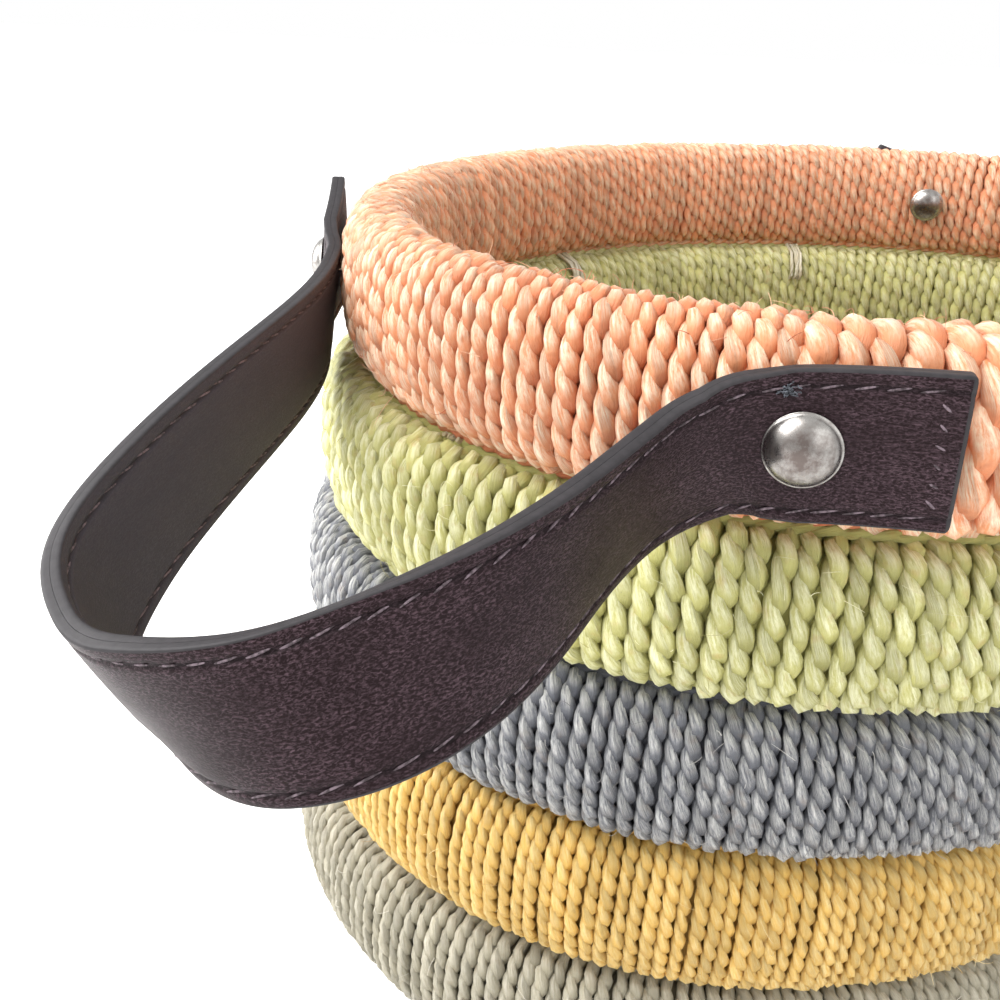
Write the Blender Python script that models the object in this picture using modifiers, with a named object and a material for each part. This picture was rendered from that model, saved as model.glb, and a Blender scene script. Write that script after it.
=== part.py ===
# Kiondo basket: five cord-wrapped coils stacked on a spiral coiled base, laced together on
# the inside, with two leather strap handles that are riveted through the rim coil.
# Run with: blender --background --python part.py
# Metres, +Z up, -Y is the front. The origin is on the floor, under the middle of the outline.

import math

import bmesh
import bpy
import numpy as np
from mathutils import Vector

# Coils of the wall, from the rim down
COIL_RISE = 0.0288            # height of one level of the wall
COIL_DEPTH = 0.0163           # thickness of a coil from outside to inside
COIL_GAP = 0.0003             # clearance between pieces that rest on each other
WRAP_WALL = 0.0030            # thickness of the cord that is wound round the core
CORE_CLEARANCE = 0.0010       # all round between a winding and its core
SEAM_GAP = 0.0012             # butt joint where the two ends of a wrap meet
COIL_POWER = 2.5              # how square the section of a coil is (2 is an ellipse)
WRAP_SIDES = 12
CORE_SIDES = 8
COIL_STATIONS = 28
RIM_STATIONS = 36

# Footprint of the levels, from the rim down; the shares are shares of the radius
BASKET_RADIUS = 0.1040        # from the basket's axis to the middle of a coil
LEVELS = ("coral", "green", "charcoal", "ochre", "taupe")
LEVEL_RADIUS_SHARES = (1.0144, 1.0010, 0.9933, 0.9923, 0.9990)
LEVEL_SHIFT_SHARES = ((0.0, 0.0), (-0.0260, -0.0077), (-0.0394, -0.0019), (-0.0279, 0.0038),
                      (-0.0077, 0.0010))
SEAM_DIRECTIONS = (-60.0, -20.0, 15.0, 130.0, 165.0)   # degrees from +X
OVAL_RIM_SHARE = 0.078        # how oval the rim is, as a share of its radius
OVAL_STEP_SHARE = 0.027       # how much more oval each lower level is
OVAL_RIM_DIRECTION = 55.0     # degrees from +X to the long axis of the rim
OVAL_DIRECTION_STEP = -3.5    # turn of the long axis from one level to the next
EGG_SHARE = 0.0285            # one end of the oval is fuller than the other
EGG_DIRECTION = 25.2

# Base: one coil laid flat, in three turns round a straight start
BASE_HEIGHT = 0.0150
BASE_TURNS = 3
BASE_TURN_GAP = 0.0014
BASE_CLEARANCE = 0.0016       # between the base and the inner side of the lowest wall coil
BASE_WALL = 0.0026
BASE_STEP_SHARE = 0.17        # share of a turn in which the coil steps inwards
BASE_START_STATIONS = 9
BASE_START_CLEARANCE = 0.0009
BASE_START_SHARE = 0.94       # length of the start piece, as a share of the space for it
BASE_TIP_SHARE = 0.16         # thinnest part of a tapered end, as a share of the coil
BASE_CORE_SHARE = 0.98        # the core ends where the coil gets thinner than this
BASE_STATIONS = 22            # for each turn
BASE_SIDES = 8

# Lacing: a strand of cord in each groove that ties one coil to the next, on the inside
LACE_RADIUS = 0.0009
LACES_PER_LEVEL = 11
LACE_REACH_SHARE = 0.58       # how far up the flank of a coil a stitch reaches
LACE_CLEARANCE = 0.0015
LACE_STITCH_WIDTH = 0.0036    # sideways step of a stitch between its two ends
LACE_STITCH_SHARE = 1.5       # a whole stitch with its bends, in stitch widths
LACE_RUN_SHARE = 1.08         # where the runs lie, as a share of a coil's half depth

# Leather handles, each a strap of two layers
STRAP_WIDTH = 0.0187
STRAP_THICKNESS = 0.0030
LAYER_GAP = 0.0003
TAB_TAIL = 0.0185             # from the rivet to the strap's cut end
TAB_LEAD = 0.0055             # from the rivet to where the loop leaves the rim
HINGE_GAP = 0.0003
RIVET_DIRECTIONS = (-93.6, -152.3)   # of the first handle; the second one is opposite
TAB_TILTS = (8.0, 17.1)       # degrees by which each tab's loop side is turned down
LOOP_REACH = 0.075            # how far the loop stands out, before the shares below
LOOP_DROP = 0.025
LOOP_STATIONS = 30
# Guide points of the loop: share of half the span, share of the reach, share of the drop
LOOP_SHARES = (
    (-0.876, 0.142, 0.06), (-0.983, 0.378, 0.41), (-1.056, 0.70, 0.60),
    (-0.845, 0.913, 0.89), (-0.378, 0.978, 0.86), (0.0, 0.794, 0.55),
    (0.239, 0.471, 0.27), (0.586, 0.184, 0.22), (0.872, 0.066, 0.13),
)
LOOP_LEAD_SHARE = 0.5         # of the tab's lead, over which the loop still runs straight
LOOP_END_SPACE = 0.005        # no station closer than this to the slanting ends
LOOP_LOOK_AHEAD = 0.002       # share of the loop over which its direction is measured
LOOP_TWISTS = (0.0, 5.0, -12.0, 20.0, 24.0, 4.0, 0.0)   # degrees, evenly along the loop

# Rivets: a domed head with its post outside, a domed cap with a socket inside
RIVET_HEAD_RADIUS = 0.00485
RIVET_DOME = 0.0024
RIVET_EDGE = 0.0005
RIVET_POST_RADIUS = 0.0016
RIVET_BORE_CLEARANCE = 0.0003
RIVET_CAP_CLEARANCE = 0.0011  # the cap is flat and the inside of the rim is hollow
RIVET_SOCKET_DEPTH = 0.0016
RIVET_STEPS = 16
DOME_POINTS = 4

MERGE = 0.00001
CUT_OVERRUN = 0.004
SHARP_ANGLE = 50.0            # edges that fold more than this are drawn sharp

COLOURS = {
    "coral": ("C9694A", 0.75, 0.0),
    "green": ("B4BC70", 0.75, 0.0),
    "charcoal": ("5F6470", 0.75, 0.0),
    "ochre": ("D9A545", 0.75, 0.0),
    "taupe": ("A8A294", 0.75, 0.0),
    "natural": ("CDBE93", 0.8, 0.0),
    "core": ("9C8457", 0.9, 0.0),
    "leather": ("3D2F31", 0.55, 0.0),
    "lining": ("45403C", 0.65, 0.0),
    "nickel": ("C2C1BE", 0.3, 1.0),
}


def clear_scene():
    for item in list(bpy.data.objects):
        bpy.data.objects.remove(item, do_unlink=True)


def new_collection(name):
    group = bpy.data.collections.new(name)
    bpy.context.scene.collection.children.link(group)
    return group


def linear(value):
    value = value / 255.0
    return value / 12.92 if value <= 0.04045 else ((value + 0.055) / 1.055) ** 2.4


def make_material(name):
    code, roughness, metallic = COLOURS[name]
    material = bpy.data.materials.new(name)
    material.use_nodes = True
    shader = material.node_tree.nodes["Principled BSDF"]
    colour = [linear(int(code[i:i + 2], 16)) for i in (0, 2, 4)] + [1.0]
    shader.inputs["Base Color"].default_value = colour
    shader.inputs["Roughness"].default_value = roughness
    shader.inputs["Metallic"].default_value = metallic
    material.diffuse_color = colour
    return material


def add_object(name, mesh, material, group, parent=None):
    thing = bpy.data.objects.new(name, mesh)
    mesh.materials.clear()
    mesh.materials.append(bpy.data.materials[material])
    group.objects.link(thing)
    thing.parent = parent
    return thing


# Footprint of a level: a circle made slightly oval and slightly egg-shaped


def oval_share(level):
    return OVAL_RIM_SHARE + OVAL_STEP_SHARE * level


def oval_direction(level):
    return math.radians(OVAL_RIM_DIRECTION + OVAL_DIRECTION_STEP * level)


def level_radius(level):
    return BASKET_RADIUS * LEVEL_RADIUS_SHARES[level]


def level_shift(level):
    """Sideways place of a level's middle."""
    across, away = LEVEL_SHIFT_SHARES[level]
    return Vector((BASKET_RADIUS * across, BASKET_RADIUS * away, 0))


def footprint(level, angle):
    """Point on the middle line of a level's coil, and its outward direction."""
    radius = level_radius(level)
    oval_turn = 2 * (angle - oval_direction(level))
    egg_turn = 3 * (angle - math.radians(EGG_DIRECTION))
    reach = radius * (1 + oval_share(level) * math.cos(oval_turn) + EGG_SHARE * math.cos(egg_turn))
    slope = radius * (-2 * oval_share(level) * math.sin(oval_turn) - 3 * EGG_SHARE * math.sin(egg_turn))
    cos, sin = math.cos(angle), math.sin(angle)
    tangent = Vector((slope * cos - reach * sin, slope * sin + reach * cos, 0)).normalized()
    point = level_shift(level) + Vector((reach * cos, reach * sin, level_height(level)))
    return point, Vector((tangent.y, -tangent.x, 0))


def level_height(level):
    """Height of the middle of a level's coil above the floor."""
    return COIL_RISE * (len(LEVELS) - 1 - level) + coil_half_height()


def coil_half_height():
    return (COIL_RISE - COIL_GAP) / 2


def section_points(half_width, half_height, sides):
    """A rounded section with flat sides, top and bottom."""
    power = 2 / COIL_POWER
    flat = math.cos(math.pi / sides) ** power
    points = []
    for i in range(sides):
        turn = math.tau * (i + 0.5) / sides
        cos, sin = math.cos(turn), math.sin(turn)
        across = math.copysign(abs(cos) ** power, cos) / flat
        upward = math.copysign(abs(sin) ** power, sin) / flat
        points.append((half_width * across, half_height * upward))
    return points


def section_curve(name, half_width, half_height, sides, group):
    curve = bpy.data.curves.new(name, "CURVE")
    curve.dimensions = "2D"
    spline = curve.splines.new("POLY")
    spline.points.add(sides - 1)
    for point, (across, upward) in zip(spline.points, section_points(half_width, half_height, sides)):
        point.co = Vector((across, upward, 0)).to_4d()
    spline.use_cyclic_u = True
    guide = bpy.data.objects.new(name, curve)
    guide.hide_render = True
    guide.display_type = "WIRE"
    group.objects.link(guide)
    return guide


def curve_to_mesh(guide, name):
    """The evaluated curve as a mesh with its caps welded on."""
    bpy.context.view_layer.update()
    depsgraph = bpy.context.evaluated_depsgraph_get()
    mesh = bpy.data.meshes.new_from_object(guide.evaluated_get(depsgraph))
    mesh.name = name
    shape = bmesh.new()
    shape.from_mesh(mesh)
    bmesh.ops.remove_doubles(shape, verts=shape.verts, dist=MERGE)
    bmesh.ops.recalc_face_normals(shape, faces=shape.faces)
    shape.to_mesh(mesh)
    shape.free()
    bpy.data.objects.remove(guide, do_unlink=True)
    return mesh


def sweep(name, path, section, closed, capped, scales=None):
    """A tube whose section keeps upright along the path."""
    curve = bpy.data.curves.new(name + "_path", "CURVE")
    curve.dimensions = "3D"
    curve.twist_mode = "Z_UP"
    curve.bevel_mode = "OBJECT"
    curve.bevel_object = section
    curve.use_fill_caps = capped
    spline = curve.splines.new("POLY")
    spline.points.add(len(path) - 1)
    for i, place in enumerate(path):
        spline.points[i].co = place.to_4d()
        spline.points[i].radius = scales[i] if scales else 1.0
    spline.use_cyclic_u = closed
    guide = bpy.data.objects.new(name + "_path", curve)
    bpy.context.scene.collection.objects.link(guide)
    return curve_to_mesh(guide, name)


def smooth(thing):
    thing.data.shade_smooth()
    thing.data.set_sharp_from_angle(angle=math.radians(SHARP_ANGLE))


def make_hollow(thing, wall):
    shell = thing.modifiers.new("wall", "SOLIDIFY")
    shell.thickness = wall
    shell.offset = -1
    shell.use_even_offset = True
    shell.use_rim = True


def cut(thing, cutter, name):
    hole = thing.modifiers.new(name, "BOOLEAN")
    hole.operation = "DIFFERENCE"
    hole.solver = "EXACT"
    hole.object = cutter


# Wall coils: a hose of wound cord with a butt joint, round a closed core


def coil_path(level, count, seam):
    """Points round a level; with a seam they stop short of each other."""
    start = math.radians(SEAM_DIRECTIONS[level])
    if not seam:
        return [footprint(level, start + math.tau * i / count)[0] for i in range(count)]
    half = SEAM_GAP / 2 / level_radius(level)
    turn = math.tau - 2 * half
    return [footprint(level, start + half + turn * i / count)[0] for i in range(count + 1)]


def make_wall_coils(group, cutters, parent):
    half_depth = COIL_DEPTH / 2
    outer = section_curve("wrap_section", half_depth, coil_half_height(), WRAP_SIDES, cutters)
    inset = WRAP_WALL + CORE_CLEARANCE
    inner = section_curve("core_section", half_depth - inset, coil_half_height() - inset,
                          CORE_SIDES, cutters)
    coils = {}
    for level, name in enumerate(LEVELS):
        count = RIM_STATIONS if level == 0 else COIL_STATIONS
        wrap = sweep(name + "_wrap", coil_path(level, count, True), outer, False, False)
        thing = add_object(name + "_wrap", wrap, name, group, parent)
        make_hollow(thing, WRAP_WALL)
        smooth(thing)
        core = sweep(name + "_core", coil_path(level, count, False), inner, True, False)
        filling = add_object(name + "_core", core, "core", group, parent)
        smooth(filling)
        coils[name] = (thing, filling)
    return coils


# Base: a coil laid flat inside the lowest wall coil


def base_outline(angle):
    """Inner side of the lowest wall coil."""
    point, out = footprint(len(LEVELS) - 1, angle)
    return point - out * (COIL_DEPTH / 2 + BASE_CLEARANCE)


def base_axes():
    """Middle, long direction, and half the length and width of the space for the base."""
    level = len(LEVELS) - 1
    radius = level_radius(level)
    direction = oval_direction(level)
    inset = COIL_DEPTH / 2 + BASE_CLEARANCE
    along = Vector((math.cos(direction), math.sin(direction), 0))
    half_length = radius * (1 + oval_share(level)) - inset
    half_width = radius * (1 - oval_share(level)) - inset
    return level_shift(level), along, half_length, half_width


def base_point(angle, inward):
    """Point at a distance inwards from the wall; the ovals shrink to a straight line."""
    middle, along, half_length, half_width = base_axes()
    share = 1 - inward / half_width
    swing = math.cos(angle - oval_direction(len(LEVELS) - 1))
    line = along * (half_length - half_width) * swing
    rim = base_outline(angle) - middle
    rim.z = 0
    return middle + line * (1 - share) + rim * share


def base_pitch():
    """Distance between turns: the turns and half the straight start fill the half width."""
    return base_axes()[3] / (BASE_TURNS + 0.5)


def ease(share):
    share = min(max(share, 0.0), 1.0)
    return share * share * (3 - 2 * share)


def base_path():
    """The spiral's points and, at each, how thick the coil is.

    The coil keeps its distance for most of a turn and then steps in by one pitch. Its two
    ends are tapered, so that they fill the wedges beside the first and the last step."""
    pitch = base_pitch()
    width = pitch - BASE_TURN_GAP
    total = BASE_TURNS + BASE_STEP_SHARE
    count = round(BASE_STATIONS * total)
    places, scales = [], []
    for i in range(count):
        turn = total * i / count - BASE_STEP_SHARE
        within = turn - math.floor(turn)
        stepped = ease((within - (1 - BASE_STEP_SHARE)) / BASE_STEP_SHARE)
        room = pitch
        inward = pitch * (math.floor(turn) + stepped) + width / 2
        if turn < 0:
            room = pitch * stepped
        elif turn > BASE_TURNS - BASE_STEP_SHARE:
            room = pitch * (1 - stepped)
        scale = min(1.0, (room - BASE_TURN_GAP) / width)
        if scale < BASE_TIP_SHARE:
            continue
        if turn < 0:
            inward = scale * width / 2
        elif room < pitch:
            inward = pitch * BASE_TURNS - BASE_TURN_GAP - scale * width / 2
        angle = oval_direction(len(LEVELS) - 1) + math.tau * turn
        place = base_point(angle, inward)
        place.z = scale * BASE_HEIGHT / 2
        places.append(place)
        scales.append(scale)
    return places, scales, width


def least_gap(places, scales, width):
    """Smallest space between two turns of the base, measured on its points."""
    points = np.array([tuple(place) for place in places])
    halves = np.array(scales) * width / 2
    apart = round(BASE_STATIONS / 2)
    least = math.inf
    for i in range(len(points)):
        for j in range(i + apart, len(points)):
            gap = np.linalg.norm(points[i] - points[j]) - halves[i] - halves[j]
            least = min(least, gap)
    return least


def make_base(group, cutters, parent):
    places, scales, width = base_path()
    print("least gap between turns of the base: %.2f mm" % (1000 * least_gap(places, scales, width)))
    outer = section_curve("base_section", width / 2, BASE_HEIGHT / 2, BASE_SIDES, cutters)
    wrap = sweep("base_wrap", places, outer, False, False, scales)
    thing = add_object("base_wrap", wrap, "natural", group, parent)
    make_hollow(thing, BASE_WALL)
    smooth(thing)
    inset = BASE_WALL + CORE_CLEARANCE
    inner = section_curve("base_core_section", width / 2 - inset, BASE_HEIGHT / 2 - inset,
                          BASE_SIDES, cutters)
    path = [place for place, scale in zip(places, scales) if scale > BASE_CORE_SHARE]
    core = sweep("base_core", path, inner, False, True)
    smooth(add_object("base_core", core, "core", group, parent))
    make_base_start(group, cutters, parent)


def make_base_start(group, cutters, parent):
    """The spindle-shaped piece that fills the oval inside the innermost turn."""
    middle, along, half_length, half_width = base_axes()
    space = base_pitch() / 2 + BASE_TURN_GAP
    reach = half_length - half_width + space
    full = space - BASE_START_CLEARANCE
    places, scales = [], []
    for share in np.linspace(-BASE_START_SHARE, BASE_START_SHARE, BASE_START_STATIONS):
        scale = (space * math.sqrt(1 - share * share) - BASE_START_CLEARANCE) / full
        places.append(middle + along * reach * share + Vector((0, 0, scale * BASE_HEIGHT / 2)))
        scales.append(scale)
    section = section_curve("start_section", full, BASE_HEIGHT / 2, BASE_SIDES, cutters)
    start = sweep("base_start", places, section, False, True, scales)
    smooth(add_object("base_start", start, "natural", group, parent))


# Lacing between the levels


def lace_end(level, angle, upward):
    """Place of a stitch's end beside the inner flank of a coil."""
    point, out = footprint(level, angle)
    lift = coil_half_height() * LACE_REACH_SHARE * upward
    side = COIL_DEPTH / 2 + LACE_RADIUS + LACE_CLEARANCE
    return point - out * side + Vector((0, 0, lift))


def lace_run(level, angle):
    """Place of the strand where it runs on in the groove below a level."""
    upper, out = footprint(level, angle)
    lower, _ = footprint(level + 1, angle)
    return (upper + lower) / 2 - out * COIL_DEPTH / 2 * LACE_RUN_SHARE


def make_lacing(group, parent):
    """One strand in each groove: stitches up and down the flanks, with runs between them."""
    for level in range(len(LEVELS) - 1):
        name = "lacing_%s_%s" % (LEVELS[level], LEVELS[level + 1])
        half = LACE_STITCH_WIDTH / 2 / level_radius(level)
        bend = LACE_STITCH_WIDTH * LACE_STITCH_SHARE / level_radius(level)
        places = []
        for i in range(LACES_PER_LEVEL):
            angle = math.tau * (i + (level % 2) / 2) / LACES_PER_LEVEL
            places.append(lace_run(level, angle - bend))
            places.append(lace_end(level, angle - half, -1))
            places.append(lace_end(level + 1, angle + half, 1))
            places.append(lace_run(level, angle + bend))
            places.append(lace_run(level, angle + math.pi / LACES_PER_LEVEL))
        curve = bpy.data.curves.new(name, "CURVE")
        curve.dimensions = "3D"
        curve.bevel_depth = LACE_RADIUS
        curve.bevel_resolution = 0
        spline = curve.splines.new("POLY")
        spline.points.add(len(places) - 1)
        for point, place in zip(spline.points, places):
            point.co = place.to_4d()
        spline.use_cyclic_u = True
        guide = bpy.data.objects.new(name + "_path", curve)
        bpy.context.scene.collection.objects.link(guide)
        smooth(add_object(name, curve_to_mesh(guide, name), "natural", group, parent))


# Handles


def rivet_frame(handle, end):
    """Middle of the strap's thickness at a rivet, with the directions out, along and across."""
    angle = math.radians(RIVET_DIRECTIONS[end] + 180.0 * handle)
    point, out = footprint(0, angle)
    seat = point + out * (COIL_DEPTH / 2 + COIL_GAP + STRAP_THICKNESS / 2)
    level_way = Vector((0, 0, 1)).cross(out) * (-1 if end == 0 else 1)
    tilt = math.radians(TAB_TILTS[end])
    along = level_way * math.cos(tilt) - Vector((0, 0, 1)) * math.sin(tilt)
    across = Vector((0, 0, 1)) * math.cos(tilt) + level_way * math.sin(tilt)
    return seat, out, along, across


def hinge_frame(handle):
    """Point on the swing axis, its direction, the outward direction and half the span."""
    ends = []
    for end in (0, 1):
        seat, _, along, _ = rivet_frame(handle, end)
        ends.append(seat + along * TAB_LEAD)
    axis = ends[1] - ends[0]
    axis.z = 0
    half_span = axis.length / 2
    axis.normalize()
    middle = (ends[0] + ends[1]) / 2
    outward = Vector((axis.y, -axis.x, 0))
    if outward.dot(middle) < 0:
        outward = -outward
    return middle, axis, outward, half_span, ends


def spline_basis(count, share):
    """Weights of a clamped cubic B-spline's guide points at a share of its length."""
    knots = [0.0] * 3 + [i / (count - 3) for i in range(count - 2)] + [1.0] * 3
    share = min(share, 1.0 - MERGE)
    weights = [1.0 if knots[i] <= share < knots[i + 1] else 0.0 for i in range(len(knots) - 1)]
    for degree in (1, 2, 3):
        raised = []
        for i in range(len(weights) - 1):
            low = knots[i + degree] - knots[i]
            high = knots[i + degree + 1] - knots[i + 1]
            value = weights[i] * (share - knots[i]) / low if low else 0.0
            value += weights[i + 1] * (knots[i + degree + 1] - share) / high if high else 0.0
            raised.append(value)
        weights = raised
    return weights


def loop_guides(handle):
    """Guide points of the loop's middle line, from the first tab to the second."""
    middle, axis, outward, half_span, ends = hinge_frame(handle)
    lead = TAB_LEAD * LOOP_LEAD_SHARE
    first, last = (ends[end] + rivet_frame(handle, end)[2] * lead for end in (0, 1))
    inside = []
    for along, away, down in LOOP_SHARES:
        guide = middle + axis * half_span * along + outward * LOOP_REACH * away
        inside.append(guide - Vector((0, 0, LOOP_DROP * down)))
    return [ends[0], first] + inside + [last, ends[1]]


def loop_frames(handle):
    """Stations along the loop: middle point, forward, outward and across directions."""
    guides = loop_guides(handle)

    def middle_at(share):
        total = Vector((0, 0, 0))
        for weight, guide in zip(spline_basis(len(guides), share), guides):
            total += guide * weight
        return total

    twist_at = np.linspace(0, 1, len(LOOP_TWISTS))
    frames = []
    for share in np.linspace(0, 1, LOOP_STATIONS + 1):
        ahead = middle_at(min(share + LOOP_LOOK_AHEAD, 1))
        forward = (ahead - middle_at(max(share - LOOP_LOOK_AHEAD, 0))).normalized()
        across = (Vector((0, 0, 1)) - forward * forward.z).normalized()
        out = across.cross(forward)
        twist = math.radians(float(np.interp(share, twist_at, LOOP_TWISTS)))
        across, out = (across * math.cos(twist) + out * math.sin(twist),
                       out * math.cos(twist) - across * math.sin(twist))
        frames.append((middle_at(share), forward, out, across))
    first, last = frames[0][0], frames[-1][0]
    kept = [frame for frame in frames[1:-1]
            if min((frame[0] - first).length, (frame[0] - last).length) > LOOP_END_SPACE]
    return [frames[0]] + kept + [frames[-1]]


def strap_section(frame, low, high, plane=None):
    """Four corners of a strap layer; with a plane, they slide along the strap on to it."""
    middle, forward, out, across = frame
    corners = []
    for side, depth in ((-1, low), (-1, high), (1, high), (1, low)):
        corner = middle + across * (STRAP_WIDTH / 2 * side) + out * depth
        if plane:
            point, normal = plane
            corner = corner + forward * ((point - corner).dot(normal) / forward.dot(normal))
        corners.append(corner)
    return corners


def strap_mesh(name, sections, origin):
    """Loft through four-cornered sections, closed at both ends.

    The inner and the outer side are split along the same diagonals, so that two layers of a
    twisted strap stay the same distance apart."""
    shape = bmesh.new()
    rings = [[shape.verts.new(corner - origin) for corner in section] for section in sections]
    for before, after in zip(rings, rings[1:]):
        for i in range(4):
            j = (i + 1) % 4
            if i == 3:
                shape.faces.new((before[i], before[j], after[i]))
                shape.faces.new((before[j], after[j], after[i]))
            else:
                shape.faces.new((before[i], before[j], after[j]))
                shape.faces.new((before[i], after[j], after[i]))
    shape.faces.new(rings[0])
    shape.faces.new(rings[-1])
    bmesh.ops.recalc_face_normals(shape, faces=shape.faces)
    mesh = bpy.data.meshes.new(name)
    shape.to_mesh(mesh)
    shape.free()
    return mesh


def bore_cutter(name, place, out, radius, length, group):
    bpy.ops.mesh.primitive_cylinder_add(vertices=RIVET_STEPS, radius=radius, depth=length, location=place)
    cutter = bpy.context.object
    cutter.name = name
    cutter.rotation_mode = "QUATERNION"
    cutter.rotation_quaternion = out.to_track_quat("Z", "Y")
    cutter.hide_render = True
    cutter.display_type = "WIRE"
    for holder in list(cutter.users_collection):
        holder.objects.unlink(cutter)
    group.objects.link(cutter)
    return cutter


LAYERS = (
    ("face", LAYER_GAP / 2, STRAP_THICKNESS / 2, "leather"),
    ("lining", -STRAP_THICKNESS / 2, -LAYER_GAP / 2, "lining"),
)


def make_handle(handle, side, group, parent, bores):
    _, axis, _, _, ends = hinge_frame(handle)
    hinge = bpy.data.objects.new(side + "_handle_hinge", None)
    hinge.location = hinge_point(handle)
    hinge.parent = parent
    group.objects.link(hinge)
    frames = loop_frames(handle)
    for layer, low, high, colour in LAYERS:
        for end in (0, 1):
            seat, out, along, across = rivet_frame(handle, end)
            inward = axis * (1 if end == 0 else -1)
            plane = (ends[end] - inward * HINGE_GAP / 2, axis)
            tail = (seat - along * TAB_TAIL, along, out, across)
            lead = (ends[end], along, out, across)
            sections = [strap_section(tail, low, high), strap_section(lead, low, high, plane)]
            name = "%s_handle_tab_%d_%s" % (side, end + 1, layer)
            tab = add_object(name, strap_mesh(name, sections, Vector()), colour, group, parent)
            cut(tab, bores[end], "rivet bore")
        starts = [(ends[0] + axis * HINGE_GAP / 2, axis), (ends[1] - axis * HINGE_GAP / 2, axis)]
        sections = [strap_section(frame, low, high) for frame in frames]
        sections[0] = strap_section(frames[0], low, high, starts[0])
        sections[-1] = strap_section(frames[-1], low, high, starts[1])
        name = "%s_handle_loop_%s" % (side, layer)
        loop = strap_mesh(name, sections, hinge.location)
        smooth(add_object(name, loop, colour, group, hinge))


def hinge_point(handle):
    """The swing axis runs along the strap's upper edge, between the two tabs."""
    middle = hinge_frame(handle)[0]
    return middle + Vector((0, 0, STRAP_WIDTH / 2))


# Rivets


def turned(name, profile, material, group, parent, place, out):
    """A turned piece; the profile runs down its outer side."""
    mesh = bpy.data.meshes.new(name)
    edges = [(i, i + 1) for i in range(len(profile) - 1)]
    mesh.from_pydata([(radius, 0, height) for radius, height in profile], edges, [])
    thing = add_object(name, mesh, material, group, parent)
    thing.location = place
    thing.rotation_mode = "QUATERNION"
    thing.rotation_quaternion = out.to_track_quat("Z", "Y")
    turn = thing.modifiers.new("turn", "SCREW")
    turn.steps = RIVET_STEPS
    turn.render_steps = RIVET_STEPS
    turn.use_merge_vertices = True
    turn.merge_threshold = MERGE
    return thing


def dome_points():
    points = []
    for i in range(DOME_POINTS + 1):
        turn = math.pi / 2 * i / DOME_POINTS
        points.append((RIVET_HEAD_RADIUS * math.sin(turn), RIVET_EDGE + RIVET_DOME * math.cos(turn)))
    return points


def make_rivet(handle, end, side, group, parent):
    seat, out, _, _ = rivet_frame(handle, end)
    head_seat = seat + out * (STRAP_THICKNESS / 2 + COIL_GAP)
    inner_seat = seat - out * (STRAP_THICKNESS / 2 + COIL_GAP + COIL_DEPTH + RIVET_CAP_CLEARANCE)
    reach = (head_seat - inner_seat).length
    post_end = -(reach + RIVET_SOCKET_DEPTH - RIVET_BORE_CLEARANCE)
    head = dome_points() + [(RIVET_HEAD_RADIUS, 0), (RIVET_POST_RADIUS, 0),
                            (RIVET_POST_RADIUS, post_end), (0, post_end)]
    name = "%s_rivet_%d" % (side, end + 1)
    smooth(turned(name + "_head", head, "nickel", group, parent, head_seat, out))
    socket = RIVET_POST_RADIUS + RIVET_BORE_CLEARANCE
    cap = dome_points() + [(RIVET_HEAD_RADIUS, 0), (socket, 0), (socket, RIVET_SOCKET_DEPTH),
                           (0, RIVET_SOCKET_DEPTH)]
    smooth(turned(name + "_cap", cap, "nickel", group, parent, inner_seat, -out))


def centre_on_floor(group, root):
    """Move the whole basket so that the origin is under the middle of its outline."""
    bpy.context.view_layer.update()
    depsgraph = bpy.context.evaluated_depsgraph_get()
    low = np.full(3, np.inf)
    high = np.full(3, -np.inf)
    for thing in group.objects:
        if thing.type != "MESH":
            continue
        solid = thing.evaluated_get(depsgraph)
        places = np.array([tuple(solid.matrix_world @ vertex.co) for vertex in solid.data.vertices])
        low = np.minimum(low, places.min(axis=0))
        high = np.maximum(high, places.max(axis=0))
    root.location = (-(low[0] + high[0]) / 2, -(low[1] + high[1]) / 2, -low[2])
    bpy.context.view_layer.update()
    print("outline: %s mm" % np.round((high - low) * 1000, 1))
    print("moved by: %s mm" % np.round(np.array(root.location) * 1000, 3))


def main():
    clear_scene()
    group = new_collection("kiondo_basket")
    cutters = new_collection("cutters")
    for name in COLOURS:
        make_material(name)
    root = bpy.data.objects.new("basket_origin", None)
    group.objects.link(root)
    coils = make_wall_coils(group, cutters, root)
    make_base(group, cutters, root)
    make_lacing(group, root)
    for handle, side in enumerate(("left", "right")):
        bores = []
        for end in (0, 1):
            seat, out, _, _ = rivet_frame(handle, end)
            length = 2 * (COIL_DEPTH + STRAP_THICKNESS + CUT_OVERRUN)
            radius = RIVET_POST_RADIUS + RIVET_BORE_CLEARANCE
            cutter = bore_cutter("%s_bore_%d" % (side, end + 1), seat, out, radius, length, cutters)
            cutter.parent = root
            for solid in coils[LEVELS[0]]:
                cut(solid, cutter, cutter.name)
            bores.append(cutter)
            make_rivet(handle, end, side, group, root)
        make_handle(handle, side, group, root, bores)
    centre_on_floor(group, root)
    for handle, side in enumerate(("left", "right")):
        place = np.array(hinge_point(handle) + root.location) * 1000
        axis = hinge_frame(handle)[1]
        print("%s hinge at %s mm, axis %s" % (side, np.round(place, 3), np.round(tuple(axis), 5)))


main()
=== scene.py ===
# %% [markdown]
# # A coiled cord basket with leather handles
# The basket is a stack of thick coils. Each coil is a bundle of fibre with twisted sisal cord
# wound round it, turn beside turn, in one colour. Two leather straps are riveted to the rim.
# The CAD model is loaded first: it fixes every size, and the pieces made here lie on it.

import math

import bmesh
import bpy
import numpy as np
from mathutils import Matrix, Vector


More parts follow.
